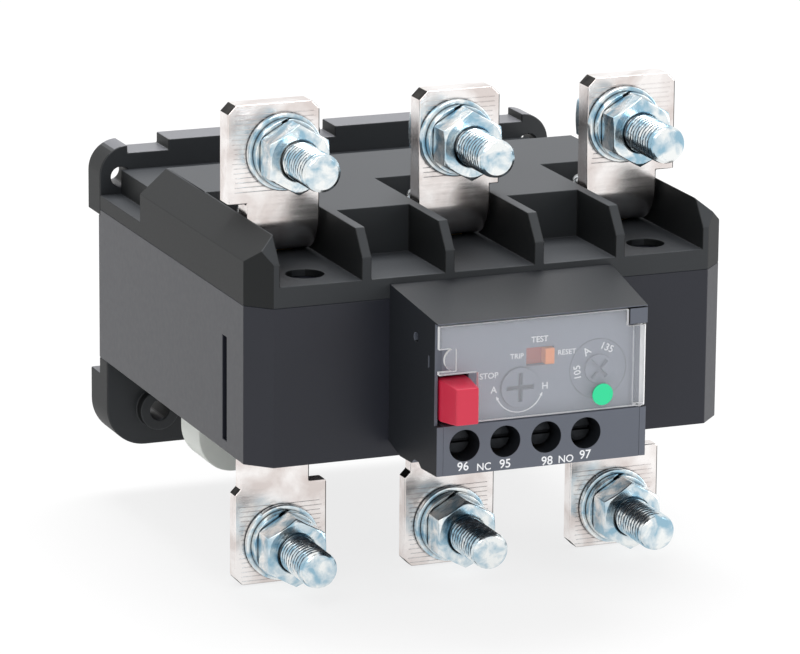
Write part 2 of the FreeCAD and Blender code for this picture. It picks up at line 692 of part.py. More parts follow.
def bottom_bar(pole):
    left = pole - LOW_LUG_WIDTH / 2
    right = pole + LOW_LUG_WIDTH / 2
    rear = LOW_BAR_FRONT + LOW_BAR_THICKNESS
    c = LUG_CORNER
    lug = prism_y([(left, LOW_BAR_BOTTOM + c), (left + c, LOW_BAR_BOTTOM),
                   (right - c, LOW_BAR_BOTTOM), (right, LOW_BAR_BOTTOM + c),
                   (right, LOW_LUG_TOP - 0.6), (right - 0.6, LOW_LUG_TOP),
                   (left + c, LOW_LUG_TOP), (left, LOW_LUG_TOP - c)], LOW_BAR_FRONT, rear)
    neck_left, neck_right = low_neck_span(pole)
    neck = block(neck_left, neck_right, LOW_BAR_FRONT, rear, LOW_LUG_TOP - 1, LOW_TAB_TOP)
    tab = block(neck_left, neck_right, LOW_BAR_FRONT, LOW_BAR_FRONT + LOW_TAB_REACH,
                LOW_TAB_TOP - LOW_BAR_THICKNESS, LOW_TAB_TOP)
    hole = rod_y(pole, LOW_BOLT_Z, LOW_BAR_FRONT - 1, rear + 1, BOLT_RADIUS + BOLT_FIT)
    return join([lug, neck, tab]).cut(hole)


def bolt_stations():
    stations = []
    for pole in POLES:
        stations.append((pole, TOP_BOLT_RISE, TOP_BAR_FRONT, TOP_BAR_THICKNESS))
        stations.append((pole, LOW_BOLT_Z, LOW_BAR_FRONT, LOW_BAR_THICKNESS))
    return stations


def terminal_bolt(x, z, seat, thickness):
    tip = seat - BOLT_REACH
    bevel = BOLT_RADIUS - BOLT_TIP_RADIUS
    rear = seat + thickness
    nut_front, nut_rear = nut_span(seat)
    point = cone_y(x, z, tip, tip + bevel, BOLT_TIP_RADIUS, BOLT_RADIUS)
    free_end = rod_y(x, z, tip + bevel, nut_front - THREAD_RUNOUT, BOLT_RADIUS)
    thread = rod_y(x, z, tip + bevel, nut_rear + THREAD_RUNOUT, BOLT_PITCH_RADIUS)
    shank = rod_y(x, z, nut_rear + THREAD_RUNOUT, rear + 1, BOLT_RADIUS)
    head = hexagon_y(x, z, rear, rear + BOLT_HEAD_HEIGHT, BOLT_HEAD_FLATS)
    return join([head, shank, thread, free_end, point])


def ring_y(x, z, y0, y1, outer, inner):
    return rod_y(x, z, y0, y1, outer).cut(rod_y(x, z, y0 - 1, y1 + 1, inner))


def flat_washer(x, z, seat):
    return ring_y(x, z, seat - FLAT_WASHER_THICKNESS, seat, FLAT_WASHER_RADIUS,
                  BOLT_RADIUS + BOLT_FIT)


def spring_washer(x, z, seat):
    rear = seat - FLAT_WASHER_THICKNESS
    front = rear - SPRING_WASHER_THICKNESS
    ring = ring_y(x, z, front, rear, SPRING_WASHER_RADIUS, BOLT_RADIUS + BOLT_FIT)
    half = SPRING_WASHER_GAP / 2
    slant = SPRING_WASHER_THICKNESS * 0.6
    split = polygon_prism([V(x - half - slant, front - 0.1, z), V(x + half - slant, front - 0.1, z),
                           V(x + half + slant, rear + 0.1, z), V(x - half + slant, rear + 0.1, z)],
                          V(0, 0, SPRING_WASHER_RADIUS + 1))
    return ring.cut(split)


def nut_span(seat):
    rear = seat - FLAT_WASHER_THICKNESS - SPRING_WASHER_THICKNESS
    return rear - NUT_HEIGHT, rear


def terminal_nut(x, z, seat):
    front, rear = nut_span(seat)
    nut = hexagon_y(x, z, front, rear, NUT_FLATS)
    bore = rod_y(x, z, front - 1, rear + 1, BOLT_PITCH_RADIUS + BOLT_FIT)
    mouth = cone_y(x, z, front - 0.01, front + NUT_MOUTH_DEPTH, BOLT_RADIUS + NUT_MOUTH_FLARE,
                   BOLT_PITCH_RADIUS)
    return nut.cut([bore, mouth])


def tab_screws():
    screws = []
    top = WELL_FLOOR + TAB_CLEARANCE + TOP_BAR_THICKNESS
    for pole in POLES:
        head = rod_z(pole, TAB_SCREW_DEPTH, top, top + TAB_SCREW_HEAD_HEIGHT,
                     TAB_SCREW_HEAD_RADIUS)
        edge = [e for e in head.Edges if abs(e.BoundBox.ZMin - top - TAB_SCREW_HEAD_HEIGHT) < 0.01
                and e.BoundBox.ZLength < 0.01]
        head = head.makeFillet(1.2, edge)
        slot = block(pole - TAB_SCREW_HEAD_RADIUS - 1, pole + TAB_SCREW_HEAD_RADIUS + 1,
                     TAB_SCREW_DEPTH - 0.6, TAB_SCREW_DEPTH + 0.6,
                     top + TAB_SCREW_HEAD_HEIGHT - 1.6, top + TAB_SCREW_HEAD_HEIGHT + 1)
        shank = rod_z(pole, TAB_SCREW_DEPTH, top - TAB_SCREW_LENGTH, top + 0.5, TAB_SCREW_RADIUS)
        screws.append(join([head.cut(slot), shank]))
    return Part.makeCompound(screws)


# ---- heaters and bimetals ----

def heater_connectors():
    shapes = []
    top = WELL_FLOOR + TAB_CLEARANCE
    screw_end = top + TOP_BAR_THICKNESS - TAB_SCREW_LENGTH
    for pole in POLES:
        pad = block(pole - CONNECTOR_HALF_WIDTH, pole + CONNECTOR_HALF_WIDTH, CONNECTOR_FRONT,
                    CONNECTOR_REAR, -CONNECTOR_DROP, top)
        arm = block(pole - CONNECTOR_ARM_HALF_WIDTH, pole + CONNECTOR_ARM_HALF_WIDTH,
                    CONNECTOR_REAR - 1, CONNECTOR_ARM_REAR, -CONNECTOR_DROP, -1)
        hole = rod_z(pole, TAB_SCREW_DEPTH, screw_end - 0.5, top + 1,
                     TAB_SCREW_RADIUS + SCREW_FIT)
        shapes.append(join([pad, arm]).cut(hole))
    return Part.makeCompound(shapes)


def bimetals():
    half = BIMETAL_THICKNESS / 2
    return Part.makeCompound([block(pole - half, pole + half, BIMETAL_FRONT, BIMETAL_REAR,
                                    LOW_TAB_TOP, BIMETAL_TOP) for pole in POLES])


def heater(pole):
    x0 = pole + HEATER_OFFSET
    x1 = x0 + HEATER_THICKNESS
    front = HEATER_LEAD_FRONT
    rear = BIMETAL_REAR + 1
    pitch = (HEATER_TOP - LOW_TAB_TOP - HEATER_STRIP) / (2 * HEATER_ROWS - 1)
    pieces = []
    for row in range(2 * HEATER_ROWS):
        z = LOW_TAB_TOP + row * pitch
        pieces.append(block(x0, x1, front, rear, z, z + HEATER_STRIP * 0.7))
        if row < 2 * HEATER_ROWS - 1:
            start = rear - HEATER_STRIP if row % 2 == 0 else front
            pieces.append(block(x0, x1, start, start + HEATER_STRIP, z,
                                z + pitch + HEATER_STRIP * 0.7))
    pieces.append(block(x0, x1, front, HEATER_LEAD_REAR, z, -CONNECTOR_DROP))
    return join(pieces)


# ---- trip bar ----

def trip_bar():
    reach = HALF - TRIP_BAR_INSET
    pieces = [block(-reach, reach, TRIP_BAR_FRONT, TRIP_BAR_REAR, TRIP_BAR_BOTTOM, TRIP_BAR_TOP)]
    for pole in POLES:
        left = pole + BIMETAL_THICKNESS / 2 + TRIP_GAP
        pieces.append(block(left, left + FINGER_WIDTH, TRIP_BAR_FRONT - FINGER_LENGTH,
                            TRIP_BAR_FRONT + 1, TRIP_BAR_BOTTOM, TRIP_BAR_TOP))
    pieces.append(block(ARM_LEFT, ARM_RIGHT, ARM_FRONT, TRIP_BAR_FRONT + 1, TRIP_BAR_BOTTOM,
                        TRIP_BAR_TOP))
    return join(pieces)


# ---- control housing ----

def module_side(y, left):
    share = -y / MODULE_FRONT
    if left:
        return MODULE_LEFT_REAR + (MODULE_LEFT_FRONT - MODULE_LEFT_REAR) * share
    return MODULE_RIGHT_REAR + (MODULE_RIGHT_FRONT - MODULE_RIGHT_REAR) * share


def module_plan(inset, front):
    return [(module_side(0, True) + inset, 0), (module_side(0, False) - inset, 0),
            (module_side(-front, False) - inset, -front),
            (module_side(-front, True) + inset, -front)]


def module_profile(inset, front):
    slope = (MODULE_TOP_FRONT - MODULE_TOP_REAR) / MODULE_FRONT
    return [(0, MODULE_TOP_REAR - inset), (-front, MODULE_TOP_REAR + slope * front - inset),
            (-front, MODULE_BOTTOM + inset), (-MODULE_STEP_FAR, MODULE_BOTTOM + inset),
            (-MODULE_STEP_FAR + 1.5, MODULE_BOTTOM + MODULE_STEP + inset),
            (-MODULE_STEP_NEAR - 1.5, MODULE_BOTTOM + MODULE_STEP + inset),
            (-MODULE_STEP_NEAR, MODULE_BOTTOM + inset),
            (-MODULE_STEP_NEAR / 2, MODULE_BOTTOM + inset),
            (0, MODULE_BOTTOM_REAR + inset)]


def module_solid(inset, front, rear):
    plan = prism_z(module_plan(inset, front), MODULE_BOTTOM - CUT_REACH,
                   MODULE_TOP_REAR + CUT_REACH)
    profile = prism_x(module_profile(inset, front), MODULE_LEFT_REAR - CUT_REACH,
                      MODULE_RIGHT_REAR + CUT_REACH)
    solid = plan.common(profile)
    return solid.common(block(-CASE_WIDTH, CASE_WIDTH, -front - 1, -rear, -CASE_WIDTH, CASE_WIDTH))


def control_housing():
    body = module_solid(0, MODULE_FRONT, 0)
    left = MODULE_LEFT_FRONT + MODULE_WALL
    right = MODULE_RIGHT_FRONT - MODULE_WALL
    hollow = module_solid(MODULE_WALL, FACE_REAR, 0)
    window_top = MODULE_TOP_FRONT - MODULE_WALL
    cuts = [hollow]
    cuts.append(block(left, right, -MODULE_FRONT - 1, -FACE_REAR + 1, SPLIT_Z, window_top))
    cuts.append(block(left, right, -MODULE_FRONT - 1, -TERMINAL_BLOCK_REAR, MODULE_BOTTOM - 1,
                      SPLIT_Z + 0.01))
    setback = MODULE_FRONT - FRAME_SETBACK
    cuts.append(block(MODULE_LEFT_REAR - 1, MODULE_RIGHT_REAR + 1, -MODULE_FRONT - 1, -setback,
                      SPLIT_Z, LENS_TOP + 0.4))
    cuts.append(block(MODULE_LEFT_FRONT + MODULE_THIN_WALL, left + 1, -MODULE_FRONT - 1,
                      -STOP_REAR + STOP_TRAVEL + 1, SPLIT_Z, STOP_TOP + 1.4))
    column_front = COVER_LENS_FRONT - 2 * HINGE_RADIUS - 0.5
    cuts.append(block(HINGE_X - HINGE_RADIUS - 0.5, MODULE_RIGHT_REAR + 1, -MODULE_FRONT - 1,
                      -column_front, SPLIT_Z, CORNER_BLOCK_BOTTOM))
    body = body.cut(cuts)
    corner = block(CORNER_BLOCK_LEFT, MODULE_RIGHT_FRONT, -MODULE_FRONT, -FACE_FRONT,
                   CORNER_BLOCK_BOTTOM, MODULE_TOP_FRONT - 0.6)
    guide = block(STOP_LEFT - 1.2, stop_x() + STOP_GUIDE_HALF, -STOP_GUIDE_REAR
                  - STOP_GUIDE_THICKNESS, -STOP_GUIDE_REAR, stop_z() - STOP_GUIDE_HALF,
                  stop_z() + STOP_GUIDE_HALF)
    body = join([body, corner, guide])
    holes = [rod_z(HINGE_X, hinge_y(), CORNER_BLOCK_BOTTOM - 1,
                   CORNER_BLOCK_BOTTOM + HINGE_PIN_LENGTH, HINGE_PIN_RADIUS + HINGE_FIT)]
    holes.append(lower_hinge_bore())
    holes.append(rod_y(stop_x(), stop_z(), -STOP_GUIDE_REAR - STOP_GUIDE_THICKNESS - 1,
                       -STOP_GUIDE_REAR + 1, STOP_STEM_RADIUS + HINGE_FIT))
    outside = MODULE_LEFT_REAR - 1
    holes.append(Part.makeCylinder(SIDE_HOLE_RADIUS, MODULE_WALL + 2,
                                   V(outside, -SIDE_HOLE_FRONT, SIDE_HOLE_Z), V(1, 0, 0)))
    holes.append(block(outside, MODULE_LEFT_FRONT + MODULE_WALL + 1, -SIDE_SLOT_FRONT,
                       -SIDE_SLOT_FRONT + SIDE_SLOT_WIDTH, SIDE_SLOT_BOTTOM,
                       SIDE_SLOT_BOTTOM + SIDE_SLOT_HEIGHT))
    return body.cut(holes)


def stop_x():
    return (STOP_LEFT + STOP_RIGHT) / 2


def stop_z():
    return (STOP_TOP + STOP_BOTTOM) / 2


def hinge_y():
    return -COVER_LENS_FRONT + HINGE_RADIUS


def lower_hinge_bore():
    return rod_z(HINGE_X, hinge_y(), SPLIT_Z - HINGE_PIN_LENGTH, SPLIT_Z + 1,
                 HINGE_PIN_RADIUS + HINGE_FIT)


def terminal_block():
    left = MODULE_LEFT_FRONT + MODULE_WALL
    right = MODULE_RIGHT_FRONT - MODULE_WALL
    body = block(left, right, -MODULE_FRONT, -TERMINAL_BLOCK_REAR, MODULE_BOTTOM, SPLIT_Z)
    cuts = []
    for x in TERMINAL_X:
        cuts.append(rod_y(x, TERMINAL_Z, -MODULE_FRONT - 1, -TERMINAL_SEAT + 1,
                          TERMINAL_HOLE_RADIUS))
        cuts.append(block(x - WIRE_ENTRY_HALF_WIDTH, x + WIRE_ENTRY_HALF_WIDTH, -TERMINAL_SEAT
                          - 0.01, -TERMINAL_BLOCK_REAR + 1, MODULE_BOTTOM - 1,
                          TERMINAL_Z + TERMINAL_HOLE_RADIUS))
    cuts.append(lower_hinge_bore())
    return body.cut(cuts)


def terminal_strip(index):
    x = TERMINAL_X[index]
    y0 = -TERMINAL_BLOCK_REAR
    y1 = y0 + STRIP_THICKNESS
    contact = contact_x(index)
    top = tongue_top(index)
    foot_plate = block(x - STRIP_HALF_WIDTH, x + STRIP_HALF_WIDTH, y0, y1, TERMINAL_Z - STRIP_DROP,
                       TERMINAL_Z + STRIP_RISE)
    riser_left = x + RISER_OFFSET - RISER_HALF_WIDTH
    riser_right = x + RISER_OFFSET + RISER_HALF_WIDTH
    riser = block(riser_left, riser_right, y0, y1, TERMINAL_Z, top)
    low = min(riser_left, contact)
    high = max(riser_right, contact + TONGUE_WIDTH)
    run = block(low, high, y0, y1, top - TONGUE_HEIGHT, top)
    tongue = block(contact, contact + TONGUE_WIDTH, y0, -ROCKER_REAR, top - TONGUE_HEIGHT, top)
    hole = rod_y(x, TERMINAL_Z, y0 - 1, y1 + 1, TERMINAL_SCREW_RADIUS + SCREW_FIT)
    return join([foot_plate, riser, run, tongue]).cut(hole)


def contact_x(index):
    centre = ROCKER_X - ROCKER_ARM if index < 2 else ROCKER_X + ROCKER_ARM
    toward = CONTACT_WIDTH / 2 + 0.1
    inner = centre + toward if index < 2 else centre - toward
    split = TONGUE_WIDTH + 0.35
    if index in (0, 2):
        return inner - split - TONGUE_WIDTH / 2
    return inner - TONGUE_WIDTH / 2


def tongue_top(index):
    closed = ROCKER_Z - ROCKER_ARM_HALF - CONTACT_HEIGHT - CLOSED_GAP
    if index < 2:
        return closed
    return closed - OPEN_DROP


def terminal_screws():
    screws = []
    for x in TERMINAL_X:
        seat = -TERMINAL_SEAT
        head = rod_y(x, TERMINAL_Z, seat - TERMINAL_SCREW_HEAD_HEIGHT, seat,
                     TERMINAL_SCREW_HEAD_RADIUS)
        reach = TERMINAL_SCREW_HEAD_RADIUS + 1
        half = TERMINAL_SLOT_WIDTH / 2
        slot = block(x - reach, x + reach, seat - TERMINAL_SCREW_HEAD_HEIGHT - 1,
                     seat - TERMINAL_SCREW_HEAD_HEIGHT + 1, TERMINAL_Z - half, TERMINAL_Z + half)
        shank = rod_y(x, TERMINAL_Z, seat - 0.5, -TERMINAL_SCREW_END, TERMINAL_SCREW_RADIUS)
        screws.append(join([head.cut(slot), shank]))
    return Part.makeCompound(screws)


def wire_clamps():
    clamps = []
    for x in TERMINAL_X:
        plate = block(x - CLAMP_HALF_WIDTH, x + CLAMP_HALF_WIDTH, -TERMINAL_SEAT,
                      -TERMINAL_SEAT + CLAMP_THICKNESS, TERMINAL_Z - CLAMP_HALF_HEIGHT,
                      TERMINAL_Z + CLAMP_HALF_HEIGHT)
        hole = rod_y(x, TERMINAL_Z, -TERMINAL_SEAT - 1, -TERMINAL_SEAT + 2,
                     TERMINAL_SCREW_RADIUS + SCREW_FIT)
        clamps.append(plate.cut(hole))
    return Part.makeCompound(clamps)


# ---- operating face ----

def face_plate():
    left = MODULE_LEFT_FRONT + MODULE_WALL
    right = MODULE_RIGHT_FRONT - MODULE_WALL
    top = MODULE_TOP_FRONT - MODULE_WALL
    body = block(left, right, -FACE_FRONT, -FACE_REAR, SPLIT_Z, top)
    cuts = [block(left - 1, STOP_RIGHT + 0.5, -FACE_FRONT - 1, -FACE_REAR + 1, SPLIT_Z - 1,
                  STOP_TOP + 0.5)]
    cuts.append(rod_y(MODE_DIAL_X, MODE_DIAL_Z, -FACE_FRONT - 1, -FACE_REAR + 1,
                      MODE_DIAL_RADIUS + DIAL_FIT))
    cuts.append(rod_y(CURRENT_DIAL_X, CURRENT_DIAL_Z, -FACE_FRONT - 1, -FACE_REAR + 1,
                      CURRENT_DIAL_RADIUS + DIAL_FIT))
    cuts.append(block(WINDOW_LEFT, WINDOW_RIGHT, -FACE_FRONT - 1, -FACE_REAR + 1, WINDOW_BOTTOM,
                      WINDOW_TOP))
    column = HINGE_X - HINGE_RADIUS - 0.5
    cuts.append(block(column, right + 1, -FACE_FRONT - 1, -COVER_LENS_FRONT + 2 * HINGE_RADIUS
                      + 0.5, SPLIT_Z - 1, CORNER_BLOCK_BOTTOM))
    cuts.append(block(CORNER_BLOCK_LEFT - 0.01, right + 1, -FACE_FRONT - 1, -FACE_FRONT,
                      CORNER_BLOCK_BOTTOM, top + 1))
    plate = body.cut(cuts)
    rail_top = block(WINDOW_LEFT - 1, slider_right() + 1, -FACE_REAR - 0.01, -FACE_REAR
                     + SLIDER_THICKNESS + 0.3, slider_top() + 0.3, slider_top() + 1.3)
    rail_bottom = block(WINDOW_LEFT - 1, slider_right() + 1, -FACE_REAR - 0.01, -FACE_REAR
                        + SLIDER_THICKNESS + 0.3, slider_bottom() - 0.9, slider_bottom() - 0.3)
    rail_bottom = rail_bottom.cut(rod_y(MODE_DIAL_X, MODE_DIAL_Z, -FACE_REAR - 1,
                                        -FACE_REAR + CUT_REACH, MODE_DIAL_RADIUS + 0.4))
    rail_bottom = rail_bottom.cut(rod_y(CURRENT_DIAL_X, CURRENT_DIAL_Z, -FACE_REAR - 1,
                                        -FACE_REAR + CUT_REACH,
                                        CURRENT_DIAL_RADIUS + 0.4))
    rail_top = rail_top.cut(rod_y(CURRENT_DIAL_X, CURRENT_DIAL_Z, -FACE_REAR - 1,
                                  -FACE_REAR + CUT_REACH,
                                        CURRENT_DIAL_RADIUS + 0.4))
    return join([plate, rail_top, rail_bottom])


def slider_top():
    return WINDOW_TOP + SLIDER_OVERLAP


def slider_bottom():
    return WINDOW_BOTTOM


def slider_right():
    return WINDOW_RIGHT + SLIDER_OVERLAP


def test_slider():
    y0 = -FACE_REAR + 0.3
    plate = block(WINDOW_LEFT - SLIDER_OVERLAP, slider_right(), y0, y0 + SLIDER_THICKNESS,
                  slider_bottom(), slider_top())
    plate = plate.cut(rod_y(MODE_DIAL_X, MODE_DIAL_Z, y0 - 1, y0 + 5, MODE_DIAL_RADIUS + 0.4))
    knob_left = WINDOW_RIGHT - KNOB_WIDTH - 0.3
    knob = block(knob_left, knob_left + KNOB_WIDTH, -FACE_FRONT - KNOB_PROUD, y0 + 0.5,
                 WINDOW_BOTTOM + 0.3, WINDOW_TOP - 0.3)
    return join([plate, knob])


def mode_dial():
    face = -FACE_FRONT - DIAL_PROUD
    disc = rod_y(MODE_DIAL_X, MODE_DIAL_Z, face, -FACE_REAR, MODE_DIAL_RADIUS)
    shaft = rod_y(MODE_DIAL_X, MODE_DIAL_Z, -FACE_REAR - 0.5, -DIAL_SHAFT_END,
                  MODE_SHAFT_RADIUS)
    return join([disc, shaft]).cut(cross_slot(MODE_DIAL_X, MODE_DIAL_Z, face,
                                              MODE_DIAL_RADIUS * 0.72, 0))


def cross_slot(x, z, face, reach, turn):
    bars = []
    for angle in (turn, turn + 90):
        bar = block(-reach, reach, face - 1, face + DIAL_SLOT_DEPTH, -DIAL_SLOT_WIDTH / 2,
                    DIAL_SLOT_WIDTH / 2)
        bar.rotate(V(0, 0, 0), V(0, 1, 0), angle)
        bar.translate(V(x, 0, z))
        bars.append(bar)
    return bars


def current_dial():
    face = -FACE_FRONT - DIAL_PROUD
    rim = rod_y(CURRENT_DIAL_X, CURRENT_DIAL_Z, -FACE_FRONT - 0.1, -FACE_REAR,
                CURRENT_DIAL_RADIUS)
    hub = rod_y(CURRENT_DIAL_X, CURRENT_DIAL_Z, face, -FACE_FRONT, CURRENT_HUB_RADIUS)
    shaft = rod_y(CURRENT_DIAL_X, CURRENT_DIAL_Z, -FACE_REAR - 0.5, -DIAL_SHAFT_END,
                  MODE_SHAFT_RADIUS)
    dial = join([rim, hub, shaft])
    return dial.cut(cross_slot(CURRENT_DIAL_X, CURRENT_DIAL_Z, face, CURRENT_HUB_RADIUS * 0.8, 45))


def current_cam():
    y0 = -FACE_REAR + 1.9
    cam = rod_y(CURRENT_DIAL_X + CURRENT_CAM_OFFSET, CURRENT_DIAL_Z, y0, y0 + 2,
                CURRENT_CAM_RADIUS)
    return cam.cut(rod_y(CURRENT_DIAL_X, CURRENT_DIAL_Z, y0 - 1, y0 + 3, MODE_SHAFT_RADIUS
                         + SCREW_FIT))


def stop_button():
    t = STOP_TAPER
    rear = -STOP_REAR
    base_front = -MODULE_FRONT + 0.5
    base = block(STOP_LEFT, STOP_RIGHT, base_front, rear, STOP_BOTTOM, STOP_TOP)
    wires = []
    for y, inset in ((base_front, 0.0), (-STOP_FRONT, t)):
        points = [V(STOP_LEFT + inset, y, STOP_BOTTOM + inset * 0.7),
                  V(STOP_RIGHT - inset * 0.7, y, STOP_BOTTOM + inset * 0.7),
                  V(STOP_RIGHT - inset * 0.7, y, STOP_TOP - inset * 0.5),
                  V(STOP_LEFT + inset, y, STOP_TOP - inset * 0.5)]
        wires.append(Part.makePolygon(points + [points[0]]))
    cap = Part.makeLoft(wires, True)
    stem = rod_y(stop_x(), stop_z(), rear - 0.5, -STOP_STEM_END, STOP_STEM_RADIUS)
    return join([base, cap, stem])


def stop_spring():
    start = -STOP_REAR
    end = -STOP_GUIDE_REAR - STOP_GUIDE_THICKNESS
    length = end - start - 2 * SPRING_WIRE_RADIUS
    helix = Part.makeHelix(length / SPRING_TURNS, length, SPRING_COIL_RADIUS)
    circle = Part.makeCircle(SPRING_WIRE_RADIUS, V(SPRING_COIL_RADIUS, 0, 0), V(0, 1, 0))
    section = Part.Wire([circle])
    coil = Part.Wire(helix.Edges).makePipeShell([section], True, True)
    coil.rotate(V(0, 0, 0), V(1, 0, 0), -90)
    coil.translate(V(stop_x(), start + SPRING_WIRE_RADIUS, stop_z()))
    return coil


# ---- clear cover ----

def clear_cover():
    y0 = -COVER_LENS_FRONT
    y1 = y0 + LENS_THICKNESS
    plate = block(LENS_LEFT, HINGE_X, y0, y1, LENS_BOTTOM, LENS_TOP)
    cuts = [block(LENS_LEFT - 1, LENS_STOP_RIGHT, y0 - 1, y1 + 1, LENS_BOTTOM - 1, LENS_STOP_TOP)]
    cuts.append(block(LENS_LEFT - 1, GRIP_RIGHT, y0 - 1, y1 + 1, GRIP_BOTTOM, GRIP_TOP))
    cuts.append(block(CORNER_BLOCK_LEFT - 0.4, HINGE_X + 1, y0 - 1, y1 + 1,
                      CORNER_BLOCK_BOTTOM - 0.4, LENS_TOP + 1))
    plate = plate.cut(cuts)
    grip_z = (GRIP_TOP + GRIP_BOTTOM) / 2
    grip_radius = (GRIP_TOP - GRIP_BOTTOM) / 2 + 0.2
    grip = rod_y(GRIP_RIGHT, grip_z, y0 + 0.3, y1, grip_radius)
    grip = grip.common(block(LENS_LEFT, GRIP_RIGHT, y0, y1, GRIP_BOTTOM - 1, GRIP_TOP + 1))
    column = rod_z(HINGE_X, hinge_y(), LENS_BOTTOM, HINGE_TOP, HINGE_RADIUS)
    pins = [rod_z(HINGE_X, hinge_y(), HINGE_TOP - 0.5, CORNER_BLOCK_BOTTOM + HINGE_PIN_LENGTH
                  - 0.3, HINGE_PIN_RADIUS)]
    pins.append(rod_z(HINGE_X, hinge_y(), SPLIT_Z - HINGE_PIN_LENGTH + 0.3, LENS_BOTTOM + 0.5,
                      HINGE_PIN_RADIUS))
    latch = block(-LATCH_WIDTH / 2, LATCH_WIDTH / 2, y0 + 0.01, y1, LENS_BOTTOM,
                  LENS_BOTTOM + LATCH_HEIGHT)
    rim_top = block(LENS_LEFT, CORNER_BLOCK_LEFT - 0.4, y0, y1, LENS_TOP - 0.8, LENS_TOP)
    return join([plate, grip, column, latch, rim_top] + pins)


def seal_disc():
    y0 = -COVER_LENS_FRONT
    return rod_y(SEAL_X, SEAL_Z, y0 - SEAL_THICKNESS, y0, SEAL_RADIUS)


# ---- trip mechanism ----

def mechanism_frame():
    plate = block(CABLE_WINDOW_LEFT - FRAME_MARGIN, CABLE_WINDOW_RIGHT + FRAME_MARGIN,
                  -FRAME_THICKNESS, 0, CABLE_WINDOW_BOTTOM - 1.2, CABLE_WINDOW_TOP + FRAME_MARGIN)
    window = block(ARM_LEFT - 1, ARM_RIGHT + TRIP_TRAVEL + 1, -FRAME_THICKNESS - 1, 1,
                   TRIP_BAR_BOTTOM - 1, TRIP_BAR_TOP + 1)
    pins = [rod_y(LEVER_X, LEVER_Z, -LEVER_FRONT - 1, -FRAME_THICKNESS + 0.5, PIVOT_RADIUS)]
    pins.append(rod_y(ROCKER_X, ROCKER_Z, -ROCKER_FRONT - 0.8, -FRAME_THICKNESS + 0.5,
                      PIVOT_RADIUS))
    collars = [rod_y(LEVER_X, LEVER_Z, -LEVER_REAR + 0.3, -FRAME_THICKNESS + 0.5, HUB_RADIUS)]
    collars.append(rod_y(ROCKER_X, ROCKER_Z, -ROCKER_REAR + 0.3, -FRAME_THICKNESS + 0.5,
                         HUB_RADIUS))
    return join([plate.cut(window)] + pins + collars)


def trip_lever():
    y0 = -LEVER_FRONT
    y1 = -LEVER_REAR
    hub = rod_y(LEVER_X, LEVER_Z, y0, y1, HUB_RADIUS)
    post = block(LEVER_X - LEVER_HALF_WIDTH, LEVER_X + LEVER_HALF_WIDTH, y0, y1,
                 LEVER_TAIL_BOTTOM, LEVER_NOSE_TOP)
    nose = block(ARM_RIGHT + TRIP_GAP, LEVER_X, y0, y1, LEVER_NOSE_BOTTOM, LEVER_NOSE_TOP)
    reach = ROCKER_X + ROCKER_TAIL_HALF + MESH_GAP
    tail = block(reach, LEVER_X, y0, y1, LEVER_TAIL_BOTTOM, LEVER_TAIL_TOP)
    peg = block(reach, reach + PEG_WIDTH, -ROCKER_FRONT, y0 + 1, LEVER_TAIL_BOTTOM,
                LEVER_TAIL_TOP)
    lever = join([hub, post, nose, tail, peg])
    return lever.cut(rod_y(LEVER_X, LEVER_Z, y0 - 1, y1 + 1, PIVOT_RADIUS + PIVOT_FIT))


def contact_rocker():
    y0 = -ROCKER_FRONT
    y1 = -ROCKER_REAR
    hub = rod_y(ROCKER_X, ROCKER_Z, y0, y1, HUB_RADIUS)
    arms = block(ROCKER_X - ROCKER_ARM - 1, ROCKER_X + ROCKER_ARM + 1, y0, y1,
                 ROCKER_Z - ROCKER_ARM_HALF, ROCKER_Z + ROCKER_ARM_HALF)
    tail = block(ROCKER_X - ROCKER_TAIL_HALF, ROCKER_X + ROCKER_TAIL_HALF, y0, y1,
                 ROCKER_TAIL_BOTTOM, ROCKER_Z)
    rocker = join([hub, arms, tail])
    return rocker.cut(rod_y(ROCKER_X, ROCKER_Z, y0 - 1, y1 + 1, PIVOT_RADIUS + PIVOT_FIT))


def moving_contacts():
    bars = []
    for side in (-1, 1):
        toward = CONTACT_WIDTH / 2 + 0.1
        centre = ROCKER_X + side * ROCKER_ARM
        middle = centre + toward if side < 0 else centre - toward
        left = middle - TONGUE_WIDTH / 2 - 1.35
        top = ROCKER_Z - ROCKER_ARM_HALF
        bars.append(block(left, left + CONTACT_WIDTH, -ROCKER_FRONT, -ROCKER_REAR,
                          top - CONTACT_HEIGHT, top))
    return Part.makeCompound(bars)


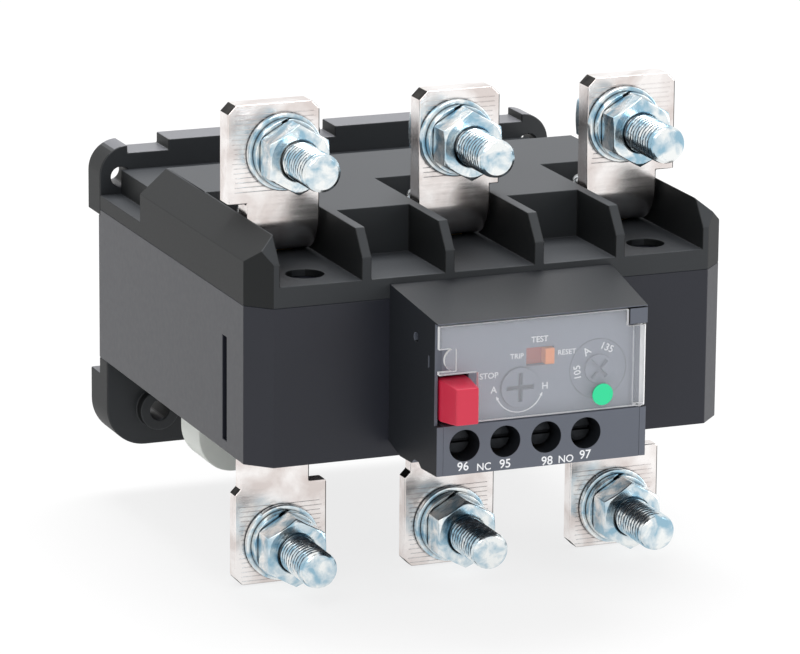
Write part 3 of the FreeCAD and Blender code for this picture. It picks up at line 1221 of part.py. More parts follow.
def main():
    save("base_housing", base_housing())
    save("top_cover", top_cover())
    save("case_screws", case_screws())
    save("rear_plate", rear_plate())
    save("feet", Part.makeCompound([foot(-1), foot(1)]))
    left, mid, right = POLES
    half = NECK_WIDTH / 2
    save("top_bar_left", top_bar(left, left + half - TOP_LUG_WIDTH, left + half))
    save("top_bar_middle", top_bar(mid, mid - half, mid - half + MID_LUG_WIDTH))
    save("top_bar_right", top_bar(right, right - half, right - half + TOP_LUG_WIDTH))
    save("bottom_bar_left", bottom_bar(left))
    save("bottom_bar_middle", bottom_bar(mid))
    save("bottom_bar_right", bottom_bar(right))
    places = bolt_stations()
    save("terminal_bolts", Part.makeCompound([terminal_bolt(*p) for p in places]))
    save("flat_washers", Part.makeCompound([flat_washer(*p[:3]) for p in places]))
    save("spring_washers", Part.makeCompound([spring_washer(*p[:3]) for p in places]))
    save("terminal_nuts", Part.makeCompound([terminal_nut(*p[:3]) for p in places]))
    save("tab_screws", tab_screws())
    save("heater_connectors", heater_connectors())
    save("bimetals", bimetals())
    save("heaters", Part.makeCompound([heater(pole) for pole in POLES]))
    save("trip_bar", trip_bar())
    save("control_housing", control_housing())
    save("terminal_block", terminal_block())
    save("contact_strips", Part.makeCompound([terminal_strip(i) for i in range(4)]))
    save("terminal_screws", terminal_screws())
    save("wire_clamps", wire_clamps())
    save("face_plate", face_plate())
    save("test_slider", test_slider())
    save("mode_dial", mode_dial())
    save("current_dial", current_dial())
    save("current_cam", current_cam())
    save("stop_button", stop_button())
    save("stop_spring", stop_spring())
    save("clear_cover", clear_cover())
    save("seal_disc", seal_disc())
    save("mechanism_frame", mechanism_frame())
    save("trip_lever", trip_lever())
    save("contact_rocker", contact_rocker())
    save("moving_contacts", moving_contacts())


main()
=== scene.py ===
import bpy
import bmesh
import math
from mathutils import Matrix, Vector


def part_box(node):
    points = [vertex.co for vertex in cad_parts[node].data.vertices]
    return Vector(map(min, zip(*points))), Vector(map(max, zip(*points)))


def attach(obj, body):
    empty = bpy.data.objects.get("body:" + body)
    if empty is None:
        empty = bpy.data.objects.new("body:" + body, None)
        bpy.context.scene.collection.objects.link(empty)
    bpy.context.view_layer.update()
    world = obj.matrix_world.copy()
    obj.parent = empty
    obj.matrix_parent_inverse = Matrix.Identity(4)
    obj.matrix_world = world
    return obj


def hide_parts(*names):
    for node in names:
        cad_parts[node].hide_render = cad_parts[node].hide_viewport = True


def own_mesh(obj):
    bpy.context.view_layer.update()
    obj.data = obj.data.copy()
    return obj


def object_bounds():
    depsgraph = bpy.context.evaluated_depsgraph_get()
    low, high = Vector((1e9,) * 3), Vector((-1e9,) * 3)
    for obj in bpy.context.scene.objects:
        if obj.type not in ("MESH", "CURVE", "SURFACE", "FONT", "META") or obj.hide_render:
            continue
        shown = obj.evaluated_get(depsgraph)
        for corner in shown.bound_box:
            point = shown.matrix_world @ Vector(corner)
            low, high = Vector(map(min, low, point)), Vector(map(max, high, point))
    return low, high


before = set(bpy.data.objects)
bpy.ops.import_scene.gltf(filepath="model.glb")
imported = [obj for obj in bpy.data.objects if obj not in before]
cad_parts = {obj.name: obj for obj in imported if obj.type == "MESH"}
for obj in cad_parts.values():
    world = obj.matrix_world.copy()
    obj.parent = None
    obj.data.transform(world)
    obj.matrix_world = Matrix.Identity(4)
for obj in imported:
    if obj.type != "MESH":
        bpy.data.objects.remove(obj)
cadLow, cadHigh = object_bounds()
mm = 0.001
scene = bpy.context.scene
print("frame loaded:", len(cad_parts), "nodes")


# A colour code becomes the linear value that a shader takes.
def linearColour(code, alpha=1.0):
    parts = [int(code[i:i + 2], 16) / 255 for i in (1, 3, 5)]
    parts = [c / 12.92 if c <= 0.04045 else ((c + 0.055) / 1.055) ** 2.4 for c in parts]
    return (*parts, alpha)


def addNode(tree, kind, inputs=None, **settings):
    node = tree.nodes.new(kind)
    for name, value in settings.items():
        setattr(node, name, value)
    for key, value in (inputs or {}).items():
        if isinstance(value, bpy.types.NodeSocket):
            tree.links.new(value, node.inputs[key])
        else:
            node.inputs[key].default_value = value
    return node


def newMaterial(name):
    material = bpy.data.materials.new(name)
    material.use_nodes = True
    tree = material.node_tree
    return material, tree, tree.nodes["Principled BSDF"]


def pieceFromMesh(name, mesh, body, materials, replaced=()):
    piece = bpy.data.objects.new(name, mesh)
    scene.collection.objects.link(piece)
    mesh.materials.clear()
    for material in materials:
        mesh.materials.append(material)
    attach(piece, body)
    if replaced:
        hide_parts(*replaced)
    return piece


def meshFromShape(shape, name):
    mesh = bpy.data.meshes.new(name)
    shape.to_mesh(mesh)
    shape.free()
    return mesh


def bakedMesh(holder):
    graph = bpy.context.evaluated_depsgraph_get()
    mesh = bpy.data.meshes.new_from_object(holder.evaluated_get(graph))
    old = holder.data
    bpy.data.objects.remove(holder)
    bpy.data.meshes.remove(old)
    return mesh


def midPoint(node):
    low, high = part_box(node)
    return (low + high) / 2


# The camera: angles in degrees, distance in metres, aim from the middle of the whole part.
cameraView = {"azimuth": -22.23, "elevation": 14.72, "roll": 0.5, "distance": 1.3199,
              "lens": 231.93, "aimFromMiddle": (-20.68 * mm, -33.54 * mm, 5.94 * mm)}


def makeCamera(view):
    turn, lift = math.radians(view["azimuth"]), math.radians(view["elevation"])
    back = Vector((math.sin(turn) * math.cos(lift), -math.cos(turn) * math.cos(lift),
                   math.sin(lift)))
    aim = (cadLow + cadHigh) / 2 + Vector(view["aimFromMiddle"])
    right = Vector((0, 0, 1)).cross(back).normalized()
    up = back.cross(right)
    roll = math.radians(view["roll"])
    tilted = right * math.cos(roll) + up * math.sin(roll)
    axes = Matrix((tilted, back.cross(tilted), back)).transposed()
    data = bpy.data.cameras.new("camera")
    data.lens = view["lens"]
    data.sensor_width = 36
    data.clip_end = 20
    camera = bpy.data.objects.new("camera", data)
    camera.matrix_world = Matrix.Translation(aim + back * view["distance"]) @ axes.to_4x4()
    scene.collection.objects.link(camera)
    scene.camera = camera


makeCamera(cameraView)
print("camera placed")


# A plastic: its colour drifts over some 34 mm, and a fine grain (in mm) moves gloss and height.
plasticShape = {"cloudSize": 34, "ior": 1.5}


def mouldedPlastic(name, base, pale, roughness, grainSize, grainDepth, sheen=0.5):
    material, tree, shader = newMaterial(name)
    place = addNode(tree, "ShaderNodeTexCoord").outputs["Object"]
    cloud = addNode(tree, "ShaderNodeTexNoise",
                    {"Vector": place, "Scale": 1000 / plasticShape["cloudSize"], "Detail": 3})
    grain = addNode(tree, "ShaderNodeTexNoise",
                    {"Vector": place, "Scale": 1000 / grainSize, "Detail": 4, "Roughness": 0.6})
    tint = addNode(tree, "ShaderNodeMix",
                   {0: cloud.outputs["Fac"], 6: linearColour(base), 7: linearColour(pale)},
                   data_type="RGBA")
    gloss = addNode(tree, "ShaderNodeMapRange",
                    {"Value": grain.outputs["Fac"], 3: roughness - 0.05, 4: roughness + 0.07})
    bump = addNode(tree, "ShaderNodeBump",
                   {"Strength": 1.0, "Distance": grainDepth * mm, "Height": grain.outputs["Fac"]})
    tree.links.new(tint.outputs[2], shader.inputs["Base Color"])
    tree.links.new(gloss.outputs[0], shader.inputs["Roughness"])
    tree.links.new(bump.outputs[0], shader.inputs["Normal"])
    shader.inputs["IOR"].default_value = plasticShape["ior"]
    shader.inputs["Specular IOR Level"].default_value = sheen
    return material


# glass-filled polyamide, polished tool: near black with a soft, wide reflection
polishedNylon = mouldedPlastic("polishedNylon", "#20222A", "#262831", 0.34, 1.6, 0.004, 0.34)
# the same polyamide from a spark-eroded tool: charcoal, no clear reflection, grain 0.35 mm
erodedNylon = mouldedPlastic("erodedNylon", "#33363A", "#3B3E42", 0.52, 0.35, 0.012, 0.42)
# painted shade: darker copies of it for the walls, where less light falls: the sides most, the
# fronts a little
sideShadeNylon = mouldedPlastic("sideShadeNylon", "#161819", "#1C1E1F", 0.52, 0.35, 0.012, 0.25)
wallShadeNylon = mouldedPlastic("wallShadeNylon", "#272A2D", "#2E3134", 0.52, 0.35, 0.012, 0.35)
# satin polyamide of the mounting plate, and a paler copy of it: painted light on its upward faces
topLightNylon = mouldedPlastic("topLightNylon", "#6A6B70", "#74757B", 0.4, 0.6, 0.008, 0.5)
satinNylon = mouldedPlastic("satinNylon", "#26282B", "#2D3033", 0.42, 0.6, 0.008, 0.4)
# undyed grey-green polyamide of the feet
greyNylon = mouldedPlastic("greyNylon", "#DADED8", "#E4E7E2", 0.5, 0.8, 0.010)
# blue-grey polycarbonate blend of the terminal front, fine grain 0.3 mm: partly its colour, and
# painted light on the control housing's front faces
blueAndLitPolycarbonate = mouldedPlastic("blueAndLitPolycarbonate", "#565B66", "#5E636E", 0.48, 0.3, 0.010)
# charcoal polycarbonate blend of the control housing sides and top
darkPolycarbonate = mouldedPlastic("darkPolycarbonate", "#1F2124", "#26282C", 0.45, 0.35, 0.010,
                                   0.35)
# paler plate behind the clear cover
platePolycarbonate = mouldedPlastic("platePolycarbonate", "#7B808C", "#838894", 0.5, 0.5, 0.005)
# acetal dials, smooth from moulding, and a darker copy of it: painted shade in their sunk slots
# and in the gaps around them
dialAcetal = mouldedPlastic("dialAcetal", "#787D89", "#7F8490", 0.4, 0.9, 0.004)
slotShadeAcetal = mouldedPlastic("slotShadeAcetal", "#4C5058", "#555962", 0.5, 0.9, 0.004)
# painted shade: the same polycarbonate near black, down in the screw holes where no light falls,
# and on the control housing's left side
shadePolycarbonate = mouldedPlastic("shadePolycarbonate", "#1B1D21", "#212429", 0.5, 0.5,
                                     0.004, 0.25)
# orange acetal of the slider: in the shade of its slot, and on the knob
slotOrange = mouldedPlastic("slotOrange", "#C0583A", "#CC6444", 0.5, 0.8, 0.004)
orangeAcetal = mouldedPlastic("orangeAcetal", "#F08A3E", "#F59A4E", 0.38, 0.8, 0.004)
# red ABS, semi-gloss
redABS = mouldedPlastic("redABS", "#C9203F", "#D22A48", 0.36, 1.2, 0.004)
# off-white polyamide of the inner levers, and the black acetal frame that carries them
ivoryNylon = mouldedPlastic("ivoryNylon", "#DAD2C2", "#E2DBCC", 0.5, 0.8, 0.006)
blackAcetal = mouldedPlastic("blackAcetal", "#2B2C2F", "#323336", 0.5, 0.8, 0.006)
# pad-printed ink and the round green print: matte, no grain to see
whiteInk = mouldedPlastic("whiteInk", "#E9EBEE", "#F1F2F4", 0.6, 0.4, 0.002)
greenInk = mouldedPlastic("greenInk", "#1FD493", "#28DC9B", 0.5, 0.4, 0.002)


# A metal: two colours drift into each other, painted shade darkens its creases, and lines or a
# fine grain move gloss and height.
def platedMetal(name, base, pale, roughness, cloudSize, streak=None, streakDepth=0.0,
                creaseShade="#30343A", reach=1.2):
    material, tree, shader = newMaterial(name)
    place = addNode(tree, "ShaderNodeTexCoord").outputs["Object"]
    cloud = addNode(tree, "ShaderNodeTexNoise",
                    {"Vector": place, "Scale": 1000 / cloudSize, "Detail": 3, "Distortion": 0.4})
    spread = addNode(tree, "ShaderNodeMapRange",
                     {"Value": cloud.outputs["Fac"], 1: 0.36, 2: 0.62})
    tint = addNode(tree, "ShaderNodeMix",
                   {0: spread.outputs[0], 6: linearColour(base), 7: linearColour(pale)},
                   data_type="RGBA")
    near = addNode(tree, "ShaderNodeAmbientOcclusion", {"Distance": reach * mm}, samples=6)
    clearance = addNode(tree, "ShaderNodeMapRange",
                        {"Value": near.outputs["AO"], 1: 0.25, 2: 0.85})
    creaseShaded = addNode(tree, "ShaderNodeMix",           # painted shade: darker where two faces meet, found by ambient occlusion
                   {0: clearance.outputs[0], 6: linearColour(creaseShade), 7: tint.outputs[2]},
                   data_type="RGBA")
    tree.links.new(creaseShaded.outputs[2], shader.inputs["Base Color"])
    shader.inputs["Metallic"].default_value = 1.0
    if streak:                                     # drawn or ground lines: length and width in mm
        stretched = addNode(tree, "ShaderNodeMapping",
                            {"Vector": place, "Scale": tuple(1000 / size for size in streak)})
        source = addNode(tree, "ShaderNodeTexNoise",
                         {"Vector": stretched.outputs[0], "Scale": 1.0, "Detail": 3})
    else:
        source = addNode(tree, "ShaderNodeTexNoise", {"Vector": place, "Scale": 1000 / 0.5})
    gloss = addNode(tree, "ShaderNodeMapRange",
                    {"Value": source.outputs["Fac"], 3: roughness - 0.08, 4: roughness + 0.10})
    bump = addNode(tree, "ShaderNodeBump", {"Strength": 1.0, "Distance": streakDepth * mm,
                                            "Height": source.outputs["Fac"]})
    tree.links.new(gloss.outputs[0], shader.inputs["Roughness"])
    tree.links.new(bump.outputs[0], shader.inputs["Normal"])
    return material


# nickel over copper: warm white, ground along the width before plating
nickelPlate = platedMetal("nickelPlate", "#DDD3CF", "#F9F5F3", 0.20, 9.0, (14.0, 0.6, 0.6), 0.004,
                         reach=0.8)
# zinc with blue passivation: cold white that drifts to pale blue and straw every few mm
blueZinc = platedMetal("blueZinc", "#98BCCF", "#F3F6F5", 0.18, 4.2, None, 0.004)
# the current path inside, and plain turned steel
drawnBrass = platedMetal("drawnBrass", "#C9A45C", "#D6B36C", 0.35, 8.0, (8.0, 0.4, 0.4), 0.006)
rolledBimetal = platedMetal("rolledBimetal", "#A89C90", "#B4A89C", 0.4, 6.0, (0.4, 0.4, 8.0),
                            0.006)
heaterAlloy = platedMetal("heaterAlloy", "#8B7F75", "#9A8E84", 0.5, 5.0, None, 0.006)
turnedSteel = platedMetal("turnedSteel", "#BFC1C3", "#CED0D1", 0.3, 5.0, None, 0.004)
# painted shade: an almost black, dull copy of the steel for the screws sunk deep in their tunnels
screwShadeSteel = platedMetal("screwShadeSteel", "#2C2E31", "#383A3D", 0.5, 3.0, None, 0.004, "#101112")
# painted shade: a dull, dark copy of the nickel for the bars' cut and chamfered edges, standing
# for the dark surroundings they reflect
edgeShadeNickel = platedMetal("edgeShadeNickel", "#1F1E1D", "#3C3A38", 0.55, 3.0, (0.5, 6.0, 0.5),
                            0.01)
# painted shade: a dark copy of the metal in the thread roots
threadRootShade = platedMetal("threadRootShade", "#4C565E", "#667079", 0.35, 3.0, None, 0.004)
# silver alloy of the contact tips
silverAlloy = platedMetal("silverAlloy", "#DCDCD8", "#E6E6E2", 0.3, 5.0, None, 0.003)


# A clear plastic: a long, shallow ripple (in mm) moves its gloss and height.
clearShape = {"rippleSize": 16, "rippleDepth": 0.01, "ior": 1.585}


def clearMoulding(name, colour, alpha, roughness):
    material, tree, shader = newMaterial(name)
    place = addNode(tree, "ShaderNodeTexCoord").outputs["Object"]
    ripple = addNode(tree, "ShaderNodeTexNoise",
                     {"Vector": place, "Scale": 1000 / clearShape["rippleSize"]})
    bump = addNode(tree, "ShaderNodeBump", {"Distance": clearShape["rippleDepth"] * mm,
                                            "Height": ripple.outputs["Fac"]})
    gloss = addNode(tree, "ShaderNodeMapRange",
                    {"Value": ripple.outputs["Fac"], 3: roughness, 4: roughness + 0.04})
    tree.links.new(bump.outputs[0], shader.inputs["Normal"])
    tree.links.new(gloss.outputs[0], shader.inputs["Roughness"])
    shader.inputs["Base Color"].default_value = linearColour(colour)
    shader.inputs["Alpha"].default_value = alpha
    shader.inputs["IOR"].default_value = clearShape["ior"]
    return material


# clear polycarbonate: a faint milky film over what lies behind, and a near-opaque white where an
# edge faces out: painted highlight
clearSheet = clearMoulding("clearSheet", "#DDE1E8", 0.17, 0.05)
clearEdgeHighlight = clearMoulding("clearEdgeHighlight", "#FFFFFF", 0.9, 0.25)
print("materials made:", len(bpy.data.materials))


# A shape becomes an object, so that modifiers can work on it.
def heldMesh(shape, name):
    mesh = meshFromShape(shape, name)
    mesh.shade_smooth()
    holder = bpy.data.objects.new("holder", mesh)
    scene.collection.objects.link(holder)
    return holder


# Points nearer than this join, in mm. The cover's shoulders end in a land of 0.1 mm: it closes up.
joinReach = {"top_cover": 0.11}
joinFine = 0.002
# Faces that meet flatter than this, in degrees, become one.
flatAngle = {"before": 0.5, "after": 0.3}


# Each corner leans to the largest face near its own angle: broad faces stay flat, edges round.
def leanedNormals(mesh, reach=50):
    limit = math.cos(math.radians(reach))
    around = {}
    for face in mesh.polygons:
        for corner in face.vertices:
            around.setdefault(corner, []).append((face.normal.copy(), face.area ** 2))
    normals = []
    for face in mesh.polygons:
        for corner in face.vertices:
            lean = Vector((0.0, 0.0, 0.0))
            for normal, weight in around[corner]:
                if normal.dot(face.normal) > limit:
                    lean += normal * weight
            normals.append(lean.normalized() if lean.length > 0 else face.normal.copy())
    mesh.normals_split_custom_set(normals)
    return mesh


# Mouldings and bars are the construction shape with rounded edges: width in mm, angle in degrees.
def softened(node, width, segments=2, angle=35, keep=None):
    shape = bmesh.new()
    shape.from_mesh(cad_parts[node].data)
    bmesh.ops.remove_doubles(shape, verts=shape.verts, dist=joinReach.get(node, joinFine) * mm)
    if keep:
        outside = [f for f in shape.faces if not keep(f.calc_center_median())]
        bmesh.ops.delete(shape, geom=outside, context="FACES")
    bmesh.ops.dissolve_limit(shape, angle_limit=math.radians(flatAngle["before"]),
                             verts=shape.verts, edges=shape.edges)
    bmesh.ops.triangulate(shape, faces=shape.faces, ngon_method="BEAUTY")
    holder = heldMesh(shape, node)
    bevel = holder.modifiers.new("edge", "BEVEL")
    bevel.width = width * mm
    bevel.segments = segments
    bevel.limit_method = "ANGLE"
    bevel.angle_limit = math.radians(angle)
    bevel.use_clamp_overlap = False
    bevel.loop_slide = False        # sliding folds the edge over itself
    rounded = bakedMesh(holder)
    shape = bmesh.new()
    shape.from_mesh(rounded)
    bpy.data.meshes.remove(rounded)
    bmesh.ops.remove_doubles(shape, verts=shape.verts, dist=joinFine * mm)
    bmesh.ops.dissolve_limit(shape, angle_limit=math.radians(flatAngle["after"]),
                             verts=shape.verts, edges=shape.edges)
    return leanedNormals(bakedMesh(heldMesh(shape, node)))


# Faces that the rule picks, by their middle and normal, take the material of that index.
def paintFaces(mesh, chosen, index):
    for face in mesh.polygons:
        if chosen(face.center, face.normal):
            face.material_index = index


# Edge widths in mm.
edgeWidths = {"base_housing": 0.2, "top_cover": 0.25, "rear_plate": 0.35, "feet": 0.4,
              "bars": 0.35, "control_housing": 0.15, "terminal_block": 0.1, "face_plate": 0.08,
              "stop_button": 0.35, "test_slider": 0.12, "dials": 0.12, "hardware": 0.18,
              "clear_cover": 0.12}

for node, slot, materials in (("base_housing", "case_black", [polishedNylon]),
                              ("top_cover", "cover_black", [wallShadeNylon, sideShadeNylon, erodedNylon]),
                              ("rear_plate", "plate_black", [satinNylon, topLightNylon, sideShadeNylon]),
                              ("feet", "foot_grey", [greyNylon])):
    moulding = softened(node, edgeWidths[node])
    pieceFromMesh(node + "_moulding", moulding, "base", materials, (node,))
    if node == "top_cover":         # painted shade on its walls, the side walls darkest; its tops, the palest, keep the eroded colour
        paintFaces(moulding, lambda centre, normal: abs(normal.x) > 0.3, 1)
        paintFaces(moulding, lambda centre, normal: normal.z > 0.8, 2)
    if node == "rear_plate":        # painted light on its upward faces, painted shade on its sides
        paintFaces(moulding, lambda centre, normal: normal.z > 0.9, 1)
        paintFaces(moulding, lambda centre, normal: abs(normal.x) > 0.6, 2)
for level in ("top", "bottom"):
    for place in ("left", "middle", "right"):
        node = level + "_bar_" + place
        bar = softened(node, edgeWidths["bars"])
        pieceFromMesh(node + "_plated", bar, "base", [nickelPlate, edgeShadeNickel],
                      (node,))
        # painted shade: the cut corners, and the rounding of the right edges, take the dark nickel
        paintFaces(bar, lambda centre, normal: abs(normal.x) > 0.3 and abs(normal.z) > 0.3
                   or 0.3 < normal.x < 0.97, 1)

housing = softened("control_housing", edgeWidths["control_housing"])
pieceFromMesh("control_housing_moulding", housing, "base",
              [darkPolycarbonate, blueAndLitPolycarbonate, shadePolycarbonate], ("control_housing",))
# painted light: the housing's front faces take the paler blue-grey
paintFaces(housing, lambda centre, normal: normal.y < -0.6, 1)
# painted shade: the housing's left side near black
paintFaces(housing, lambda centre, normal: normal.x < -0.9, 2)
block = softened("terminal_block", edgeWidths["terminal_block"])
pieceFromMesh("terminal_block_moulding", block, "base",
              [blueAndLitPolycarbonate, shadePolycarbonate], ("terminal_block",))
# painted shade in the screw tunnels, from just behind the block's front face
tunnels = {"front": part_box("terminal_block")[0].y + 0.3 * mm, "radius": 4.3 * mm,
           "height": midPoint("terminal_screws").z}
paintFaces(block, lambda centre, normal: centre.y > tunnels["front"]
           and abs(centre.z - tunnels["height"]) < tunnels["radius"], 1)
pieceFromMesh("face_plate_moulding", softened("face_plate", edgeWidths["face_plate"]), "base",
              [platePolycarbonate], ("face_plate",))
pieceFromMesh("stop_button_cap", softened("stop_button", edgeWidths["stop_button"], 3),
              "stop_button_body", [redABS], ("stop_button",))
slider = softened("test_slider", edgeWidths["test_slider"])
pieceFromMesh("test_slider_knob", slider, "test_slider_body",
              [orangeAcetal, slotOrange], ("test_slider",))
plateThickness = 1.6 * mm                                  # the flat plate behind the knob
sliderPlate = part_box("test_slider")[1].y - plateThickness
paintFaces(slider, lambda centre, normal: centre.y > sliderPlate, 1)
# painted shade in the sunk cross of each dial: how far out it goes, and the depths it lies between
slotReach = {"mode_dial": 4.4, "current_dial": 2.9}
slotTop, slotFloor = 0.2 * mm, 1.2 * mm
for node, body in (("mode_dial", "mode_dial_body"), ("current_dial", "current_dial_body")):
    dial = softened(node, edgeWidths["dials"])
    pieceFromMesh(node + "_disc", dial, body, [dialAcetal, slotShadeAcetal], (node,))
    face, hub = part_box(node)[0].y, midPoint(node)
    reach = slotReach[node] * mm
    for part in dial.polygons:
        corners = [dial.vertices[v].co for v in part.vertices]
        part.material_index = int(all(face + slotTop < c.y < face + slotFloor
                                      and (c - hub).xz.length < reach for c in corners))
for node, material, slot in (("terminal_nuts", blueZinc, "blue_zinc"),
                             ("spring_washers", blueZinc, "blue_zinc"),
                             ("terminal_screws", screwShadeSteel, "blue_zinc"),
                             ("tab_screws", turnedSteel, "steel")):
    pieceFromMesh(node + "_plated", softened(node, edgeWidths["hardware"]), "base",
                  [material], (node,))
print("mouldings and bars softened")


# Clear cover: its rims and walls carry a painted highlight, its flat sheet lets light through.
lens = softened("clear_cover", edgeWidths["clear_cover"])
pieceFromMesh("clear_cover_lens", lens, "clear_cover_body",
              [clearSheet, clearEdgeHighlight], ("clear_cover",))
paintFaces(lens, lambda centre, normal: abs(normal.y) < 0.86, 1)
print("clear cover placed")


# Washers, sizes in mm.
washerShape = {"rim": 10.1, "bore": 5.25, "thickness": 2.0, "dish": 0.55, "round": 0.35,
               "sharp": 40}
nutFlats = 16.0 * mm


def turnedRing(shape, profile, middle, steps=72):
    rings = []
    for k in range(steps):
        a = 2 * math.pi * k / steps
        rings.append([shape.verts.new((middle.x + r * math.cos(a), middle.y + y,
                                       middle.z + r * math.sin(a))) for r, y in profile])
    for k in range(steps):
        one, two = rings[k], rings[(k + 1) % steps]
        for i in range(len(profile)):
            j = (i + 1) % len(profile)
            shape.faces.new((one[i], one[j], two[j], two[i]))


def flatWashers(size):
    r, b, t, d, c = (size[key] * mm for key in ("rim", "bore", "thickness", "dish", "round"))
    profile = [(b, 0), (b, -t + d + c), (b + c, -t + d), (r * 0.80, -t + d * 0.55),
               (r - 1.3 * c, -t), (r - 0.3 * c, -t + 0.35 * c), (r, -t + c), (r, -c), (r - c, 0)]
    shape = bmesh.new()
    for bolt in stations:
        turnedRing(shape, profile, bolt["seat"])
    bmesh.ops.recalc_face_normals(shape, faces=shape.faces)
    mesh = meshFromShape(shape, "washers")
    mesh.shade_smooth()
    mesh.set_sharp_from_angle(angle=math.radians(size["sharp"]))
    return mesh


# The six bolts: each bar's box, and the spot on the bar's front where its bolt stands.
stations = []
for level in ("top", "bottom"):
    for place in ("left", "middle", "right"):
        low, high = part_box(level + "_bar_" + place)
        stations.append({"bar": (low, high), "level": level, "place": place})
nutLow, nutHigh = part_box("terminal_nuts")
nutHalf = nutFlats / math.sqrt(3)                  # from a nut's middle to its corner
studTop, studBottom = nutHigh.z - nutHalf, nutLow.z + nutHalf
outerStud = nutHigh.x - nutFlats / 2
for bolt in stations:
    x = {"left": -outerStud, "middle": 0.0, "right": outerStud}[bolt["place"]]
    z = studTop if bolt["level"] == "top" else studBottom
    bolt["seat"] = Vector((x, bolt["bar"][0].y, z))

pieceFromMesh("flat_washers_plated", flatWashers(washerShape), "base", [blueZinc],
              ("flat_washers",))
print("washers turned:", len(stations))


# Threaded bolt ends, made with geometry nodes. Sizes in mm, from the bar's front face.
boltShape = {"radius": 5.0, "pitch": 1.5, "depth": 0.62, "reach": 28.0, "nutFace": 12.4,
             "sunk": 0.6, "pointRadius": 4.1, "pointLength": 1.2, "rootRadius": 4.72,
             "shankEnd": 0.2, "around": 49, "along": 124, "sharp": 32,
             "flank": 2.3, "crestRound": 0.25, "pointTaper": 1.3}


def threadTree(material):
    tree = bpy.data.node_groups.new("threadedEnd", "GeometryNodeTree")
    for name, value in (("Length", 15 * mm), ("Radius", 5 * mm), ("Pitch", 1.5 * mm),
                        ("Depth", 0.6 * mm), ("Point Radius", 4 * mm)):
        socket = tree.interface.new_socket(name, in_out="INPUT", socket_type="NodeSocketFloat")
        socket.default_value = value
    for name, value in (("Around", 48), ("Along", 150)):
        socket = tree.interface.new_socket(name, in_out="INPUT", socket_type="NodeSocketInt")
        socket.default_value = value
    tree.interface.new_socket("Geometry", in_out="OUTPUT", socket_type="NodeSocketGeometry")
    given = addNode(tree, "NodeGroupInput").outputs

    def maths(operation, first, second=0.0, third=0.0):
        return addNode(tree, "ShaderNodeMath", {0: first, 1: second, 2: third},
                       operation=operation).outputs[0]

    grid = addNode(tree, "GeometryNodeMeshGrid", {"Size X": 1.0, "Size Y": 1.0,
                                                  "Vertices X": given["Along"],
                                                  "Vertices Y": given["Around"]})
    spot = addNode(tree, "ShaderNodeSeparateXYZ",
                   {0: addNode(tree, "GeometryNodeInputPosition").outputs[0]})
    along = maths("ADD", spot.outputs[0], 0.5)
    turn = maths("ADD", spot.outputs[1], 0.5)
    distance = maths("MULTIPLY", along, given["Length"])
    phase = maths("SUBTRACT", maths("DIVIDE", distance, given["Pitch"]), turn)
    tooth = maths("PINGPONG", phase, 0.5)                      # 0 in the root, 0.5 on the crest
    crest = maths("SMOOTH_MIN", maths("MULTIPLY", tooth, boltShape["flank"]), 1.0,
                  boltShape["crestRound"])
    root = maths("SUBTRACT", given["Radius"], given["Depth"])
    wave = maths("MULTIPLY_ADD", crest, given["Depth"], root)
    point = maths("ADD", given["Point Radius"],
                  maths("MULTIPLY", distance, boltShape["pointTaper"]))
    radius = maths("MINIMUM", wave, point)
    angle = maths("MULTIPLY", turn, 2 * math.pi)
    wrapped = addNode(tree, "ShaderNodeCombineXYZ",
                      {0: maths("MULTIPLY", radius, maths("COSINE", angle)), 1: distance,
                       2: maths("MULTIPLY", radius, maths("SINE", angle))})
    bent = addNode(tree, "GeometryNodeSetPosition",
                   {"Geometry": grid.outputs["Mesh"], "Position": wrapped.outputs[0]})
    disc = addNode(tree, "GeometryNodeMeshCircle",
                   {"Vertices": maths("SUBTRACT", given["Around"], 1.0),
                    "Radius": maths("MINIMUM", given["Point Radius"], root)},
                   fill_type="TRIANGLE_FAN")
    flat = addNode(tree, "GeometryNodeTransform", {"Geometry": disc.outputs[0],
                                                   "Rotation": (math.pi / 2, 0, 0)})
    both = addNode(tree, "GeometryNodeJoinGeometry", {0: bent.outputs[0]})
    tree.links.new(flat.outputs[0], both.inputs[0])
    merged = addNode(tree, "GeometryNodeMergeByDistance", {"Geometry": both.outputs[0],
                                                           "Distance": 0.02 * mm})
    smooth = addNode(tree, "GeometryNodeSetShadeSmooth", {"Geometry": merged.outputs[0],
                                                          "Shade Smooth": True})
    real = addNode(tree, "GeometryNodeRealizeInstances", {0: smooth.outputs[0]})
    dressed = addNode(tree, "GeometryNodeSetMaterial", {"Geometry": real.outputs[0],
                                                        "Material": material})
    addNode(tree, "NodeGroupOutput", {"Geometry": dressed.outputs[0]})
    return tree


def evaluatedTree(tree, values):
    holder = bpy.data.objects.new("holder", bpy.data.meshes.new("holder"))
    scene.collection.objects.link(holder)
    modifier = holder.modifiers.new("tree", "NODES")
    modifier.node_group = tree
    for item in tree.interface.items_tree:
        if item.in_out == "INPUT" and item.name in values:
            modifier[item.identifier] = values[item.name]
    return bakedMesh(holder)


